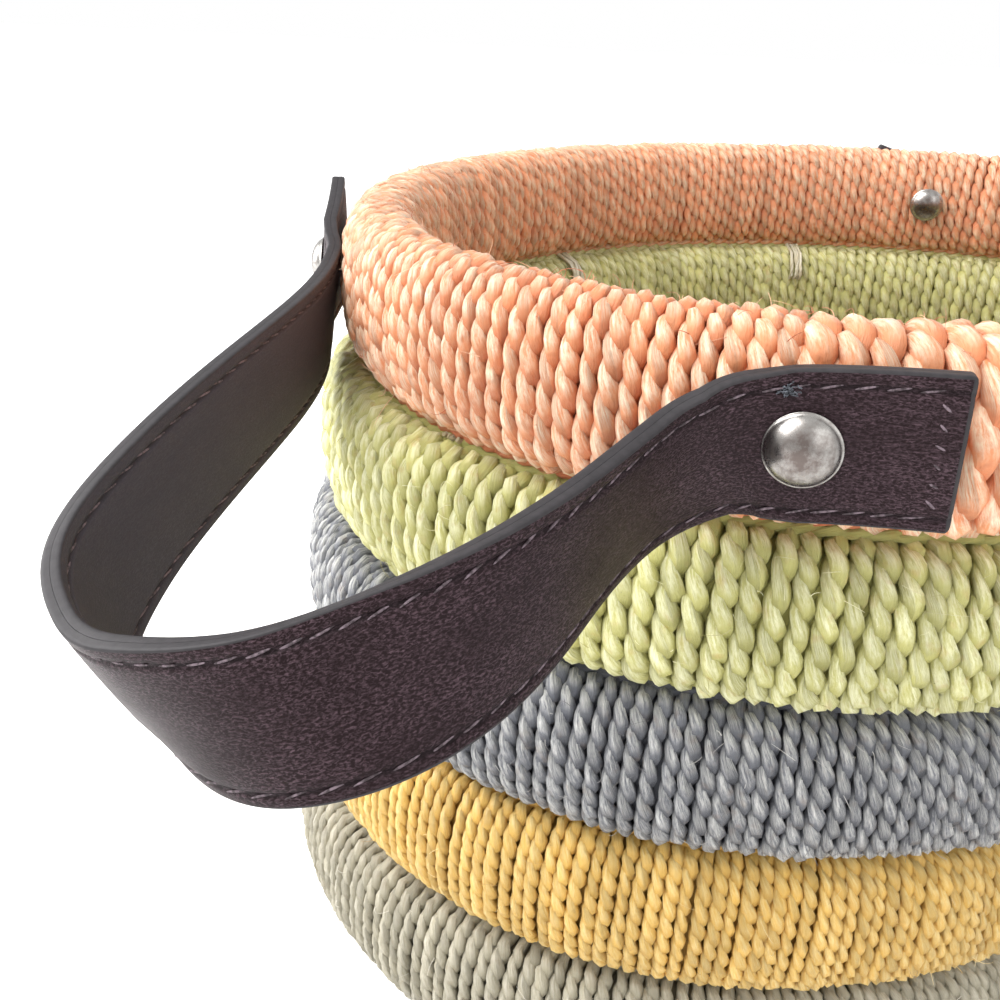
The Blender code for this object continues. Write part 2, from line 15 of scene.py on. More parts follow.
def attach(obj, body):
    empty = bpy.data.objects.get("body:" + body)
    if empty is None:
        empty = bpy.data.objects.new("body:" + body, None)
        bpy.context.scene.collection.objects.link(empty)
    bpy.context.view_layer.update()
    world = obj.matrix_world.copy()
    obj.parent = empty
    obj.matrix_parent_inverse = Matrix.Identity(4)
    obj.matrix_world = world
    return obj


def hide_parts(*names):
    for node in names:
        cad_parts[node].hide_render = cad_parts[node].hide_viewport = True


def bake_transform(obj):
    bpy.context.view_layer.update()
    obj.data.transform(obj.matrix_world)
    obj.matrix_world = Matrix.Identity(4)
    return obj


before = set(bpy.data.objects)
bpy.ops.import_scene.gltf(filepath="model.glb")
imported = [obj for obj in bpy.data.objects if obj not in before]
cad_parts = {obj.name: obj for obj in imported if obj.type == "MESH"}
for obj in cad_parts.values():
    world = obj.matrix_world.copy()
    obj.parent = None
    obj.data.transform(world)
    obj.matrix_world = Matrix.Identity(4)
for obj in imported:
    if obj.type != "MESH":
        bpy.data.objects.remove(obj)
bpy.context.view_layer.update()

# %% [markdown]
# ## The camera
# The photograph looks down into the basket from just above its rim, close by, so the near coil
# is much larger than the far one. A camera is a place, three turns and a lens. The lens is
# given as the focal length for a sensor that is 36 mm wide.

# %% Camera
CAMERA_PLACE = (-0.001256, -0.253644, 0.176270)
CAMERA_DOWN = 0.4093          # radians below the horizon
CAMERA_TURN = -0.3242         # radians from +Y towards +X, so it looks to the left
CAMERA_ROLL = 0.0356
LENS, SENSOR_WIDTH = 40.548, 36.0
CLIP_START = 0.01             # the basket is closer than the usual 0.1 m


def link(thing):
    """Put an object into the scene."""
    bpy.context.scene.collection.objects.link(thing)
    return thing


def aim_camera():
    data = bpy.data.cameras.new("photo_camera")
    data.lens, data.sensor_width, data.clip_start = LENS, SENSOR_WIDTH, CLIP_START
    camera = link(bpy.data.objects.new("photo_camera", data))
    sin_turn, cos_turn = math.sin(CAMERA_TURN), math.cos(CAMERA_TURN)
    sin_down, cos_down = math.sin(CAMERA_DOWN), math.cos(CAMERA_DOWN)
    forward = Vector((sin_turn * cos_down, cos_turn * cos_down, -sin_down))
    right = Vector((cos_turn, -sin_turn, 0))
    up = right.cross(forward)
    tilted = right * math.cos(CAMERA_ROLL) + up * math.sin(CAMERA_ROLL)
    upward = up * math.cos(CAMERA_ROLL) - right * math.sin(CAMERA_ROLL)
    camera.matrix_world = Matrix.Translation(CAMERA_PLACE) @ Matrix(
        (tilted, upward, -forward)).transposed().to_4x4()
    bpy.context.scene.camera = camera


aim_camera()

# %% [markdown]
# ## Sizes from the CAD model
# The coils follow the CAD coils, so their footprint is written with the same values: a circle
# that is slightly oval and slightly egg-shaped, with a small sideways shift for each level.

# %% Sizes
UP = np.array((0.0, 0.0, 1.0))
SHIFT = Vector((-0.001256, 0.000966, 0.0))   # where the CAD model's own origin lies
COIL_RISE = 0.0288
COIL_DEPTH = 0.0163
COIL_GAP = 0.0003
BASKET_RADIUS = 0.1040
LEVELS = ("coral", "green", "charcoal", "ochre", "taupe")
RADIUS_SHARES = (1.0144, 1.0010, 0.9933, 0.9923, 0.9990)
SHIFT_SHARES = ((0.0, 0.0), (-0.0260, -0.0077), (-0.0394, -0.0019), (-0.0279, 0.0038),
                (-0.0077, 0.0010))
OVAL_RIM_SHARE, OVAL_STEP_SHARE = 0.078, 0.027
OVAL_RIM_DIRECTION, OVAL_DIRECTION_STEP = 55.0, -3.5
EGG_SHARE, EGG_DIRECTION = 0.0285, 25.2


def footprint(level, angle):
    """Middle line of a level's coil at these angles, and the outward directions there."""
    angle = np.atleast_1d(np.asarray(angle, float))
    radius = BASKET_RADIUS * RADIUS_SHARES[level]
    oval = OVAL_RIM_SHARE + OVAL_STEP_SHARE * level
    direction = math.radians(OVAL_RIM_DIRECTION + OVAL_DIRECTION_STEP * level)
    oval_turn = 2 * (angle - direction)
    egg_turn = 3 * (angle - math.radians(EGG_DIRECTION))
    reach = radius * (1 + oval * np.cos(oval_turn) + EGG_SHARE * np.cos(egg_turn))
    slope = radius * (-2 * oval * np.sin(oval_turn) - 3 * EGG_SHARE * np.sin(egg_turn))
    cos, sin = np.cos(angle), np.sin(angle)
    tangent = np.stack((slope * cos - reach * sin, slope * sin + reach * cos, 0 * angle), axis=1)
    tangent /= np.linalg.norm(tangent, axis=1, keepdims=True)
    height = COIL_RISE * (len(LEVELS) - 1 - level) + (COIL_RISE - COIL_GAP) / 2
    across, away = SHIFT_SHARES[level]
    points = np.stack((reach * cos + BASKET_RADIUS * across + SHIFT.x,
                       reach * sin + BASKET_RADIUS * away + SHIFT.y,
                       0 * angle + height), axis=1)
    return points, np.stack((tangent[:, 1], -tangent[:, 0], 0 * angle), axis=1)


# %% [markdown]
# ## Small helpers
# Colours are written as sRGB hex values, as a paint program shows them, and Blender wants
# linear values. Nodes are added by one function that takes their settings and their links, and
# the short functions after it add the kinds that are used most.

# %% Helpers


def linear(code):
    """An sRGB hex colour as linear red, green, blue and alpha."""
    parts = [int(code[i:i + 2], 16) / 255 for i in (0, 2, 4)]
    return [v / 12.92 if v <= 0.04045 else ((v + 0.055) / 1.055) ** 2.4 for v in parts] + [1.0]


def feed(tree, node, inputs):
    """Set a node's inputs; each is either a value or the socket that feeds it."""
    for key, value in inputs.items():
        if isinstance(value, bpy.types.NodeSocket):
            tree.links.new(value, node.inputs[key])
        else:
            node.inputs[key].default_value = value


def add_node(tree, kind, inputs=None, **settings):
    node = tree.nodes.new(kind)
    for key, value in settings.items():
        setattr(node, key, value)
    feed(tree, node, inputs or {})
    return node


def calc(tree, operation, *values, **settings):
    """A sum on numbers."""
    return add_node(tree, "ShaderNodeMath", dict(enumerate(values)), operation=operation,
                    **settings).outputs[0]


def vector_calc(tree, operation, *values):
    """A sum on vectors; a dot product gives a number."""
    node = add_node(tree, "ShaderNodeVectorMath", dict(enumerate(values)), operation=operation)
    return node.outputs["Value" if operation == "DOT_PRODUCT" else "Vector"]


def scaled(tree, vector, factor):
    """A vector or a colour times a number."""
    return add_node(tree, "ShaderNodeVectorMath", {0: vector, "Scale": factor},
                    operation="SCALE").outputs[0]


def read(tree, name, kind="FLOAT"):
    """A value that the geometry carries."""
    return add_node(tree, "GeometryNodeInputNamedAttribute", {"Name": name},
                    data_type=kind).outputs[0]


def store(tree, geometry, name, value):
    """Geometry that carries one more number on its points."""
    return add_node(tree, "GeometryNodeStoreNamedAttribute",
                    {"Geometry": geometry, "Name": name, "Value": value},
                    data_type="FLOAT", domain="POINT").outputs[0]

# %% [markdown]
# ## Trees and meshes
# Each Geometry Nodes tree works on a guide, a mesh of points and edges that carries values. Its
# result is kept as a plain mesh. Other pieces are built point by point as a bmesh.

# %% Trees and meshes


def new_tree(name, sockets):
    """A Geometry Nodes tree with one geometry in, one out, and these named inputs."""
    tree = bpy.data.node_groups.new(name, "GeometryNodeTree")
    tree.interface.new_socket("Geometry", in_out="INPUT", socket_type="NodeSocketGeometry")
    for title, kind, value in sockets:
        socket = tree.interface.new_socket(title, in_out="INPUT", socket_type=kind)
        if value is not None:
            socket.default_value = value
    tree.interface.new_socket("Geometry", in_out="OUTPUT", socket_type="NodeSocketGeometry")
    return tree


def close_tree(tree, geometry, material):
    """Make instances real, give them their material and hand them out."""
    real = add_node(tree, "GeometryNodeRealizeInstances", {"Geometry": geometry})
    painted = add_node(tree, "GeometryNodeSetMaterial",
                       {"Geometry": real.outputs[0], "Material": material})
    add_node(tree, "NodeGroupOutput", {0: painted.outputs[0]})
    return tree


def apply_tree(guide, tree, name, values):
    """Run a tree on a guide object and keep the result as a plain mesh object."""
    modifier = guide.modifiers.new("nodes", "NODES")
    modifier.node_group = tree
    for item in tree.interface.items_tree:
        if item.in_out == "INPUT" and item.name in values:
            modifier[item.identifier] = values[item.name]
    bpy.context.view_layer.update()
    depsgraph = bpy.context.evaluated_depsgraph_get()
    mesh = bpy.data.meshes.new_from_object(guide.evaluated_get(depsgraph),
                                           preserve_all_data_layers=True, depsgraph=depsgraph)
    mesh.name = name
    bpy.data.objects.remove(guide, do_unlink=True)
    return link(bpy.data.objects.new(name, mesh))


def guide_mesh(name, points, edges, attributes):
    """A mesh of points and edges that carries values for a tree to read."""
    mesh = bpy.data.meshes.new(name)
    mesh.vertices.add(len(points))
    mesh.vertices.foreach_set("co", np.asarray(points, np.float32).ravel())
    mesh.edges.add(len(edges))
    mesh.edges.foreach_set("vertices", np.asarray(edges, np.int32).ravel())
    for key, values in attributes.items():
        values = np.asarray(values, np.float32)
        kind, field = ("FLOAT_VECTOR", "vector") if values.ndim == 2 else ("FLOAT", "value")
        attribute = mesh.attributes.new(key, kind, "POINT")
        attribute.data.foreach_set(field, values.ravel())
    mesh.update()
    return link(bpy.data.objects.new(name, mesh))


def mesh_piece(name, shape, *materials):
    """Turn a bmesh into an object."""
    bmesh.ops.recalc_face_normals(shape, faces=shape.faces)
    mesh = bpy.data.meshes.new(name)
    shape.to_mesh(mesh)
    shape.free()
    for material in materials:
        mesh.materials.append(material)
    return link(bpy.data.objects.new(name, mesh))

# %% [markdown]
# ## The cord
# The cord is sisal in two plies, each about 2.8 mm thick, twisted round each other once in
# 10 mm. On the coil it shows as columns of leaning, drop-shaped lobes. The tree takes the
# cord's middle line, moves two copies of it out on opposite sides, turns them round it, and
# gives each a round section. The middle line carries its own values: which way is outward,
# how far the twist has turned, how thick the cord is and how its colour varies.

# %% Cord tree
PLY_RADIUS = 0.00139
PLY_OFFSET = 0.00070          # from the cord's middle to a ply's middle
CORD_LAY = 0.0102             # length in which a ply goes once round
DROP_SHARE = 0.19             # how much fuller a lobe is at its lower end
CREST_LEAD = 0.55             # how far above a lobe's middle its painted highlight lies, in radians
PLY_SIDES = 5
HIGHLIGHT_WAY = (0, 0, 0.6)   # added to outward: upward, the side that gets the painted highlight


def cord_tree():
    tree = new_tree("two_ply_cord", (
        ("Ply Radius", "NodeSocketFloat", PLY_RADIUS),
        ("Ply Offset", "NodeSocketFloat", PLY_OFFSET),
        ("Drop Share", "NodeSocketFloat", DROP_SHARE),
        ("Sides", "NodeSocketInt", PLY_SIDES),
        ("Material", "NodeSocketMaterial", None)))
    given = add_node(tree, "NodeGroupInput").outputs
    line = add_node(tree, "GeometryNodeMeshToCurve", {0: given["Geometry"]}).outputs[0]
    outward = read(tree, "outward", "FLOAT_VECTOR")
    turn, gauge = read(tree, "turn"), read(tree, "gauge")
    place = add_node(tree, "GeometryNodeSplineParameter").outputs
    line = store(tree, line, "along", place["Length"])
    tangent = add_node(tree, "GeometryNodeInputTangent").outputs[0]
    sideways = vector_calc(tree, "CROSS_PRODUCT", outward, tangent)
    reach = calc(tree, "MULTIPLY", given["Ply Offset"], gauge)
    circle = add_node(tree, "GeometryNodeCurvePrimitiveCircle",
                      {"Resolution": given["Sides"], "Radius": given["Ply Radius"]}).outputs[0]
    profile = store(tree, circle, "around", place["Factor"])
    join = add_node(tree, "GeometryNodeJoinGeometry")
    for ply in (0, 1):
        phase = calc(tree, "ADD", turn, math.pi * ply)
        cos, sin = calc(tree, "COSINE", phase), calc(tree, "SINE", phase)
        away = vector_calc(tree, "ADD", scaled(tree, outward, cos), scaled(tree, sideways, sin))
        moved = add_node(tree, "GeometryNodeSetPosition",
                         {"Geometry": line, "Offset": scaled(tree, away, reach)}).outputs[0]
        marked = store(tree, moved, "ply", float(ply))
        # crest peaks a little above each lobe's middle; the sisal material paints its highlight
        # there and its shade where the ply dips under
        crest = calc(tree, "COSINE", calc(tree, "SUBTRACT", phase, CREST_LEAD))
        raised = store(tree, marked, "crest", crest)
        fuller = calc(tree, "MULTIPLY", sin, given["Drop Share"])
        thick = calc(tree, "MULTIPLY", calc(tree, "SUBTRACT", 1.0, fuller), gauge)
        swept = add_node(tree, "GeometryNodeCurveToMesh",
                         {"Curve": raised, "Profile Curve": profile, "Scale": thick,
                          "Fill Caps": True})
        tree.links.new(swept.outputs[0], join.inputs[0])
    soft = add_node(tree, "GeometryNodeSetShadeSmooth", {"Geometry": join.outputs[0]}).outputs[0]
    # facing: how far the surface faces out and up, the side on which the sisal material paints its
    # highlight
    lit_side = vector_calc(tree, "NORMALIZE", vector_calc(tree, "ADD", outward, HIGHLIGHT_WAY))
    normal = add_node(tree, "GeometryNodeInputNormal").outputs[0]
    facing = vector_calc(tree, "DOT_PRODUCT", lit_side, normal)
    return close_tree(tree, store(tree, soft, "facing", facing), given["Material"])


CORD_TREE = cord_tree()

# %% [markdown]
# ## Materials
# Every material is made of the same few nodes: noise, a change of range, a mix of two colours
# and a bump. Colours may be hex codes or sockets.

# %% Material helpers


def new_material(name):
    """A material, its tree and its shader."""
    material = bpy.data.materials.new(name)
    material.use_nodes = True
    return material, material.node_tree, material.node_tree.nodes["Principled BSDF"]


def attribute(tree, name):
    return add_node(tree, "ShaderNodeAttribute", attribute_name=name).outputs["Fac"]


def object_place(tree):
    return add_node(tree, "ShaderNodeTexCoord").outputs["Object"]


def noise(tree, place, scale, detail, roughness=0.5, distortion=0.0):
    return add_node(tree, "ShaderNodeTexNoise",
                    {"Vector": place, "Scale": scale, "Detail": detail, "Roughness": roughness,
                     "Distortion": distortion}).outputs["Fac"]


def remap(tree, value, given=(0.0, 1.0), wanted=(0.0, 1.0)):
    """A value moved from one range to another and held inside it."""
    return add_node(tree, "ShaderNodeMapRange",
                    {"Value": value, "From Min": given[0], "From Max": given[1],
                     "To Min": wanted[0], "To Max": wanted[1]}).outputs[0]


def mix(tree, factor, *colours):
    first, second = (linear(c) if isinstance(c, str) else c for c in colours)
    return add_node(tree, "ShaderNodeMix", {"Factor": factor, 6: first, 7: second},
                    data_type="RGBA").outputs[2]


def bump(tree, height, strength, distance):
    return add_node(tree, "ShaderNodeBump", {"Height": height, "Strength": strength,
                                             "Distance": distance}).outputs[0]


def mottled(name, colours, scale, detail, roughness, spread=None):
    """A plain material whose colour wanders between two; spread is the noise's useful range."""
    material, tree, shader = new_material(name)
    share = noise(tree, object_place(tree), scale, detail)
    if spread:
        share = remap(tree, share, spread)
    feed(tree, shader, {"Base Color": mix(tree, share, *colours), "Roughness": roughness})
    return material

# %% [markdown]
# ## Sisal
# Sisal is a stiff leaf fibre, combed straight and twisted, so a ply shines like coarse hair:
# long, silky highlights along the fibres and not round them. The pattern follows the ply: one
# noise is squeezed round it and stretched along it, which gives the fibres, and a slow noise
# and a value for each turn make the dye uneven. Over this each lobe gets a painted highlight
# where it stands out and faces up and out, and painted shade where it dips under its neighbour.

# %% Sisal material
FIBRE_STRETCH = 200.0         # how far the noise is moved for a metre of cord
PLY_STEP = 37.0               # keeps the two plies' patterns apart
CREST_WEIGHT = 0.8            # how much a lobe's crest counts against the side that it faces, for the painted highlight and shade


def sisal(name, middle, pale, deep, brown):
    """Dyed sisal cord, wound: its middle and browned tones, a pale tone for the painted
    highlight and a deep tone for the painted shade.
    """
    material, tree, shader = new_material(name)
    around, along, tone, ply, crest, facing = (
        attribute(tree, key) for key in ("around", "along", "tone", "ply", "crest", "facing"))
    angle = calc(tree, "MULTIPLY", around, math.tau)
    ahead = calc(tree, "MULTIPLY_ADD", ply, PLY_STEP, calc(tree, "MULTIPLY", along, FIBRE_STRETCH))
    place = add_node(tree, "ShaderNodeCombineXYZ", {
        "X": calc(tree, "COSINE", angle), "Y": calc(tree, "SINE", angle), "Z": ahead}).outputs[0]
    fibre = noise(tree, place, 2.6, 5.0, 0.72)
    place = object_place(tree)
    # Painted highlight and shade: standing is high where a lobe stands out and faces up and out.
    standing = calc(tree, "MULTIPLY_ADD", crest, CREST_WEIGHT, facing)
    uneven = remap(tree, noise(tree, place, 170.0, 3.0), (0.34, 0.66), (-0.30, 0.30))
    # level runs from the deep tone, painted shade where a lobe dips under, to the middle tone,
    # with the uneven dye added.
    level = calc(tree, "ADD", remap(tree, standing, (-0.9, 0.9)), uneven, use_clamp=True)
    dyed = mix(tree, level, deep, middle)
    # Painted highlight: pale streaks along the fibres on the standing parts of each lobe.
    painted_highlight = calc(tree, "MULTIPLY", remap(tree, fibre, (0.38, 0.64)),
                    remap(tree, standing, (0.50, 1.45), (0.05, 1.0)))
    browned = remap(tree, noise(tree, place, 480.0, 1.0), (0.60, 0.80), (0.0, 0.4))
    colour = mix(tree, browned, mix(tree, painted_highlight, dyed, pale), brown)
    feed(tree, shader, {
        "Base Color": scaled(tree, colour, remap(tree, tone, wanted=(0.84, 1.08))),
        "Roughness": remap(tree, fibre, (0.3, 0.7), (0.50, 0.32)),
        "Normal": bump(tree, fibre, 0.9, 0.00055), "IOR": 1.53, "Specular IOR Level": 0.5,
        "Sheen Weight": 0.10, "Sheen Roughness": 0.5, "Sheen Tint": linear(pale)})
    return material


# Each finish: middle tone, pale tone for the painted highlight, deep tone for the painted shade,
# browned tone.
CORD_FINISHES = {
    "coral": sisal("dyed_sisal_coral", "EA9868", "FFEDD0", "CE7045", "B56339"),
    "green": sisal("dyed_sisal_lime", "C4C076", "F2F1C8", "A5A159", "BE9C5A"),
    "charcoal": sisal("dyed_sisal_grey", "696B72", "D2D1CD", "3D404A", "84705F"),
    "ochre": sisal("dyed_sisal_ochre", "E6B95C", "F2D794", "D3A54F", "B98E4A"),
    "taupe": sisal("dyed_sisal_taupe", "A8A18B", "C8C2B0", "908974", "8C7A60"),
    "natural": sisal("plain_sisal", "E8DEBE", "FCFAEE", "BEAF88", "A8925F"),
}

# %% [markdown]
# ## Winding a coil
# A coil's winding is one long cord that goes round and round the section while it creeps
# along the coil. Its middle line is worked out with arrays: the section is walked at even
# steps, and the place along the coil grows with every turn. Small wobbles, seeded, keep the
# turns from looking machine-made. The line is cut in two so that each piece stays light.

# %% Winding
SECTION_POWER = 2.5           # how square a coil's section is; 2 would be an ellipse
CORD_RADIUS = PLY_RADIUS + PLY_OFFSET
CORD_PITCH = 0.00300          # from one turn to the next, on the coil's middle line
CORD_PROUD = -0.00022         # how far the cord stands out of the CAD coil
PRESSED = 0.00040             # how much further it stands out where two coils press together
LOBE_DRIFT = 0.38             # share of a lobe by which each turn's twist lags behind
TURN_JITTER = 0.045           # how far a turn strays from its even place, in turns
INSET_WOBBLE, SWAY = 0.00018, 0.00020
TWIST_DRIFT, TWIST_WOBBLE = 1.0, 0.55
GAUGE_WOBBLE = 0.15


def section_walk(half_depth, half_height, count, hidden=()):
    """Steps round the section: places, outward directions, shares of its girth, the girth.

    Steps are closer on the outer side, and wide where a neighbour hides the cord: hidden
    holds 1 for a hidden top and -1 for a hidden bottom."""
    turn = np.linspace(0, math.tau, 2001)
    power = 2 / SECTION_POWER
    depth = half_depth * np.sign(np.cos(turn)) * np.abs(np.cos(turn)) ** power
    height = half_height * np.sign(np.sin(turn)) * np.abs(np.sin(turn)) ** power
    step = np.hypot(np.diff(depth), np.diff(height))
    length = np.concatenate(([0], np.cumsum(step)))
    density = np.where(depth[1:] > 0, 1.25, np.where(depth[1:] > -0.5 * half_depth, 1.0, 0.75))
    bend = (np.abs(height[1:]) > 0.6 * half_height) & (depth[1:] > -0.8 * half_depth)
    density = np.where(bend, 1.4, density)
    for side in hidden:
        flat = (height[1:] * side > 0.93 * half_height) & (np.abs(depth[1:]) < 0.4 * half_depth)
        density = np.where(flat, 0.5, density)
    effort = np.concatenate(([0], np.cumsum(step * density)))
    at = np.interp(np.linspace(0, effort[-1], count, endpoint=False), effort, length)
    places = np.stack((np.interp(at, length, depth), np.interp(at, length, height)), axis=1)
    ahead = np.roll(places, -1, axis=0) - np.roll(places, 1, axis=0)
    normals = np.stack((ahead[:, 1], -ahead[:, 0]), axis=1)
    normals /= np.linalg.norm(normals, axis=1, keepdims=True)
    return places, normals, at / length[-1], length[-1]


def slow_noise(rng, count, step):
    """Smooth random values between about -1 and 1, with one knot for every few points."""
    knots = rng.uniform(-1, 1, count // step + 4)
    where = np.arange(count) / step
    low = where.astype(int)
    share = where - low
    share = share * share * (3 - 2 * share)
    return knots[low] * (1 - share) + knots[low + 1] * share


def wind(rail, seed, half_depth, half_height, gauge_at, steps, hidden=()):
    """The middle line of a cord that is wound round a rail.

    rail(shares) gives, at shares of its length, its points, outward directions, scales and
    its whole length. gauge_at(shares) gives how thick the cord is there, against the green."""
    rng = np.random.default_rng(seed)
    probe = np.linspace(0, 1, 721)
    length = rail(probe)[3]
    turns_by = np.concatenate(([0], np.cumsum(length * np.diff(probe) / CORD_PITCH
                                              / gauge_at(probe)[1:])))
    turns = int(round(turns_by[-1]))
    count = turns * steps
    walk, normal, walked, girth = section_walk(half_depth, half_height, steps, hidden)
    index = np.arange(count + 1) % steps
    turn = np.arange(count + 1) // steps + walked[index]
    jitter = rng.uniform(-TURN_JITTER, TURN_JITTER, turns + 1)
    jitter[0] = jitter[-1] = 0
    share = np.interp(np.interp(turn, np.arange(turns + 1), np.arange(turns + 1) + jitter)
                      * turns_by[-1] / turns, turns_by, probe)
    centre, out, scale, _ = rail(share)
    gauge = gauge_at(share) * np.minimum(1, 0.6 + 0.4 * scale)
    outward = out * normal[index, :1] + UP * normal[index, 1:]
    inset = CORD_RADIUS * gauge - CORD_PROUD
    inset = inset + slow_noise(rng, count + 1, steps // 2) * INSET_WOBBLE
    for side in hidden:
        inset = inset - np.clip(normal[index, 1] * side * 8 - 7, 0, 1) * PRESSED
    inset = np.minimum(inset, 0.8 * scale * min(half_depth, half_height))
    sway = slow_noise(rng, count + 1, steps // 5) * SWAY
    across, height = (walk[index] * scale[:, None]).T
    line = centre + out * across[:, None] + UP * height[:, None]
    line = line - outward * inset[:, None] + np.cross(out, UP) * sway[:, None]
    lobes = np.round(2 * girth / (CORD_LAY * gauge)) + LOBE_DRIFT
    turned = math.pi * np.cumsum(np.append(0, lobes[1:] * np.diff(turn)))
    turned = turned + slow_noise(rng, count + 1, steps) * TWIST_DRIFT
    turned = turned + slow_noise(rng, count + 1, steps // 5) * TWIST_WOBBLE
    tone = np.repeat(rng.uniform(0, 1, turns + 1), steps)[:count + 1]
    gauge = gauge * (1 + GAUGE_WOBBLE * slow_noise(rng, count + 1, steps // 5))
    return {"line": line, "outward": outward, "turn": turned, "gauge": gauge, "tone": tone,
            "turns": turns}


def wound_piece(name, cord, first, last, finish, sides):
    """Sweep part of a wound cord into a mesh piece."""
    part = slice(first, last + 1)
    count = last - first
    edges = np.stack((np.arange(count), np.arange(1, count + 1)), axis=1)
    attributes = {key: cord[key][part] for key in ("outward", "turn", "gauge", "tone")}
    guide = guide_mesh(name + "_line", cord["line"][part], edges, attributes)
    return apply_tree(guide, CORD_TREE, name, {"Material": CORD_FINISHES[finish], "Sides": sides})


# %% Wind the wall
GAUGES = {"coral": 0.90, "green": 1.0, "charcoal": 0.80, "ochre": 0.70, "taupe": 0.77}
COARSE_GAUGE = 1.30           # one stretch of the rim is wound with a thicker cord
COARSE_FROM, COARSE_TO = -94.0, -38.0   # degrees from +X
WALL_STEPS = ((6, 70), (5, 64), (5, 55), (5, 52), (5, 50))   # sides of a ply, steps in a turn


def level_rail(level):
    def rail(share):
        points, out = footprint(level, math.tau * np.asarray(share))
        dense = footprint(level, np.linspace(0, math.tau, 721))[0]
        length = np.linalg.norm(np.diff(dense, axis=0), axis=1).sum()
        return points, out, np.ones(len(points)), length
    return rail


def level_gauge(name):
    def gauge_at(share):
        degrees = (np.asarray(share) * 360 + 180) % 360 - 180
        coarse = (degrees > COARSE_FROM) & (degrees < COARSE_TO) & (name == LEVELS[0])
        return np.where(coarse, COARSE_GAUGE, GAUGES[name])
    return gauge_at


def hand_in(piece, slot, *nodes, body="basket"):
    """Attach a finished piece to the body that it rides on and hide the nodes that it stands for;
    slot is not used.
    """
    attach(piece, body)
    if nodes:
        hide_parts(*nodes)


for level, name in enumerate(LEVELS):
    sides, steps = WALL_STEPS[level]
    hidden = (-1,) if level == 0 else (1,) if level == len(LEVELS) - 1 else (1, -1)
    cord = wind(level_rail(level), 40 + level, COIL_DEPTH / 2, (COIL_RISE - COIL_GAP) / 2,
                level_gauge(name), steps, hidden)
    half = cord["turns"] // 2 * steps
    for first, last, side in ((0, half, "back"), (half, len(cord["line"]) - 1, "front")):
        piece = wound_piece("%s_winding_%s" % (name, side), cord, first, last, name, sides)
        hand_in(piece, name, name + "_wrap")
    print(name, "winding:", cord["turns"], "turns,", len(piece.data.polygons), "faces in a half")

# %% [markdown]
# ## The strap's line
# Each handle is one strap. It lies on the rim at both ends, under a rivet, and droops outwards
# in between. Its middle line is a smooth spline through the same guide points as in the CAD
# model, drawn a little closer to the photograph, with a straight run at each end. At every
# place on it three directions are kept: forwards, across the strap's width, and outwards
# through its thickness.

# %% Strap line
STRAP_WIDTH = 0.0196
STRAP_THICKNESS = 0.0030
TAB_TAIL = 0.0181             # from a rivet to the strap's cut end
TAB_LEAD = 0.0055             # from a rivet to where the loop leaves the rim
TAB_HUGS = (0.45, -0.4)       # share of the rim's curve that the stiff leather follows
TAIL_DROPS = ((0.0016, 0.0), (-0.0024, 0.0))   # how far each free end has sagged
RIVET_DIRECTIONS = (-93.6, -152.3)
TAB_TILTS = (8.0, 17.5)
LOOP_REACH, LOOP_DROP, LOOP_LEAD_SHARE = 0.075, 0.025, 0.5
LOOP_SHARES = ((-0.855, 0.113, 0.145), (-1.005, 0.406, 0.391), (-1.044, 0.635, 0.566),
               (-0.923, 0.876, 0.809), (-0.536, 0.955, 0.983), (-0.227, 0.974, 0.848),
               (0.034, 0.661, 0.402), (0.440, 0.290, 0.237), (0.817, 0.070, 0.187))
LOOP_TWISTS = (22.7, 5.2, -23.7, 30.4, 8.0, -1.0, -11.3)
STRAP_STEP = 0.0009           # between two sections of the strap


def unit(vectors):
    return vectors / np.linalg.norm(vectors, axis=-1, keepdims=True)


def rivet_frame(handle, end):
    """Middle of the strap's thickness at a rivet, and the directions out, along and across."""
    points, outs = footprint(0, math.radians(RIVET_DIRECTIONS[end] + 180 * handle))
    seat = points[0] + outs[0] * (COIL_DEPTH / 2 + COIL_GAP + STRAP_THICKNESS / 2)
    level_way = np.cross(UP, outs[0]) * (-1 if end == 0 else 1)
    tilt = math.radians(TAB_TILTS[end])
    along = level_way * math.cos(tilt) - UP * math.sin(tilt)
    return seat, outs[0], along, UP * math.cos(tilt) + level_way * math.sin(tilt)


def hinge_frame(handle):
    """Middle of the swing axis, its direction, the way out from the rim, half the span, ends."""
    ends = [rivet_frame(handle, end)[0] + rivet_frame(handle, end)[2] * TAB_LEAD for end in (0, 1)]
    span = (ends[1] - ends[0]) * (1, 1, 0)
    axis = unit(span)
    middle = (ends[0] + ends[1]) / 2
    outward = np.array((axis[1], -axis[0], 0.0))
    outward = outward * np.sign(outward @ middle)
    return middle, axis, outward, np.linalg.norm(span) / 2, ends


def spline(guides, shares):
    """A clamped cubic B-spline through guide points, at shares of its length."""
    count = len(guides)
    knots = np.array([0.0] * 3 + [i / (count - 3) for i in range(count - 2)] + [1.0] * 3)
    shares = np.minimum(shares, 1 - 1e-9)
    weights = [((knots[i] <= shares) & (shares < knots[i + 1])) * 1.0
               for i in range(len(knots) - 1)]
    for degree in (1, 2, 3):
        raised = []
        for i in range(len(weights) - 1):
            low, high = knots[i + degree] - knots[i], knots[i + degree + 1] - knots[i + 1]
            value = weights[i] * (shares - knots[i]) / low if low else 0 * shares
            if high:
                value = value + weights[i + 1] * (knots[i + degree + 1] - shares) / high
            raised.append(value)
        weights = raised
    return np.array(weights).T @ np.array(guides)


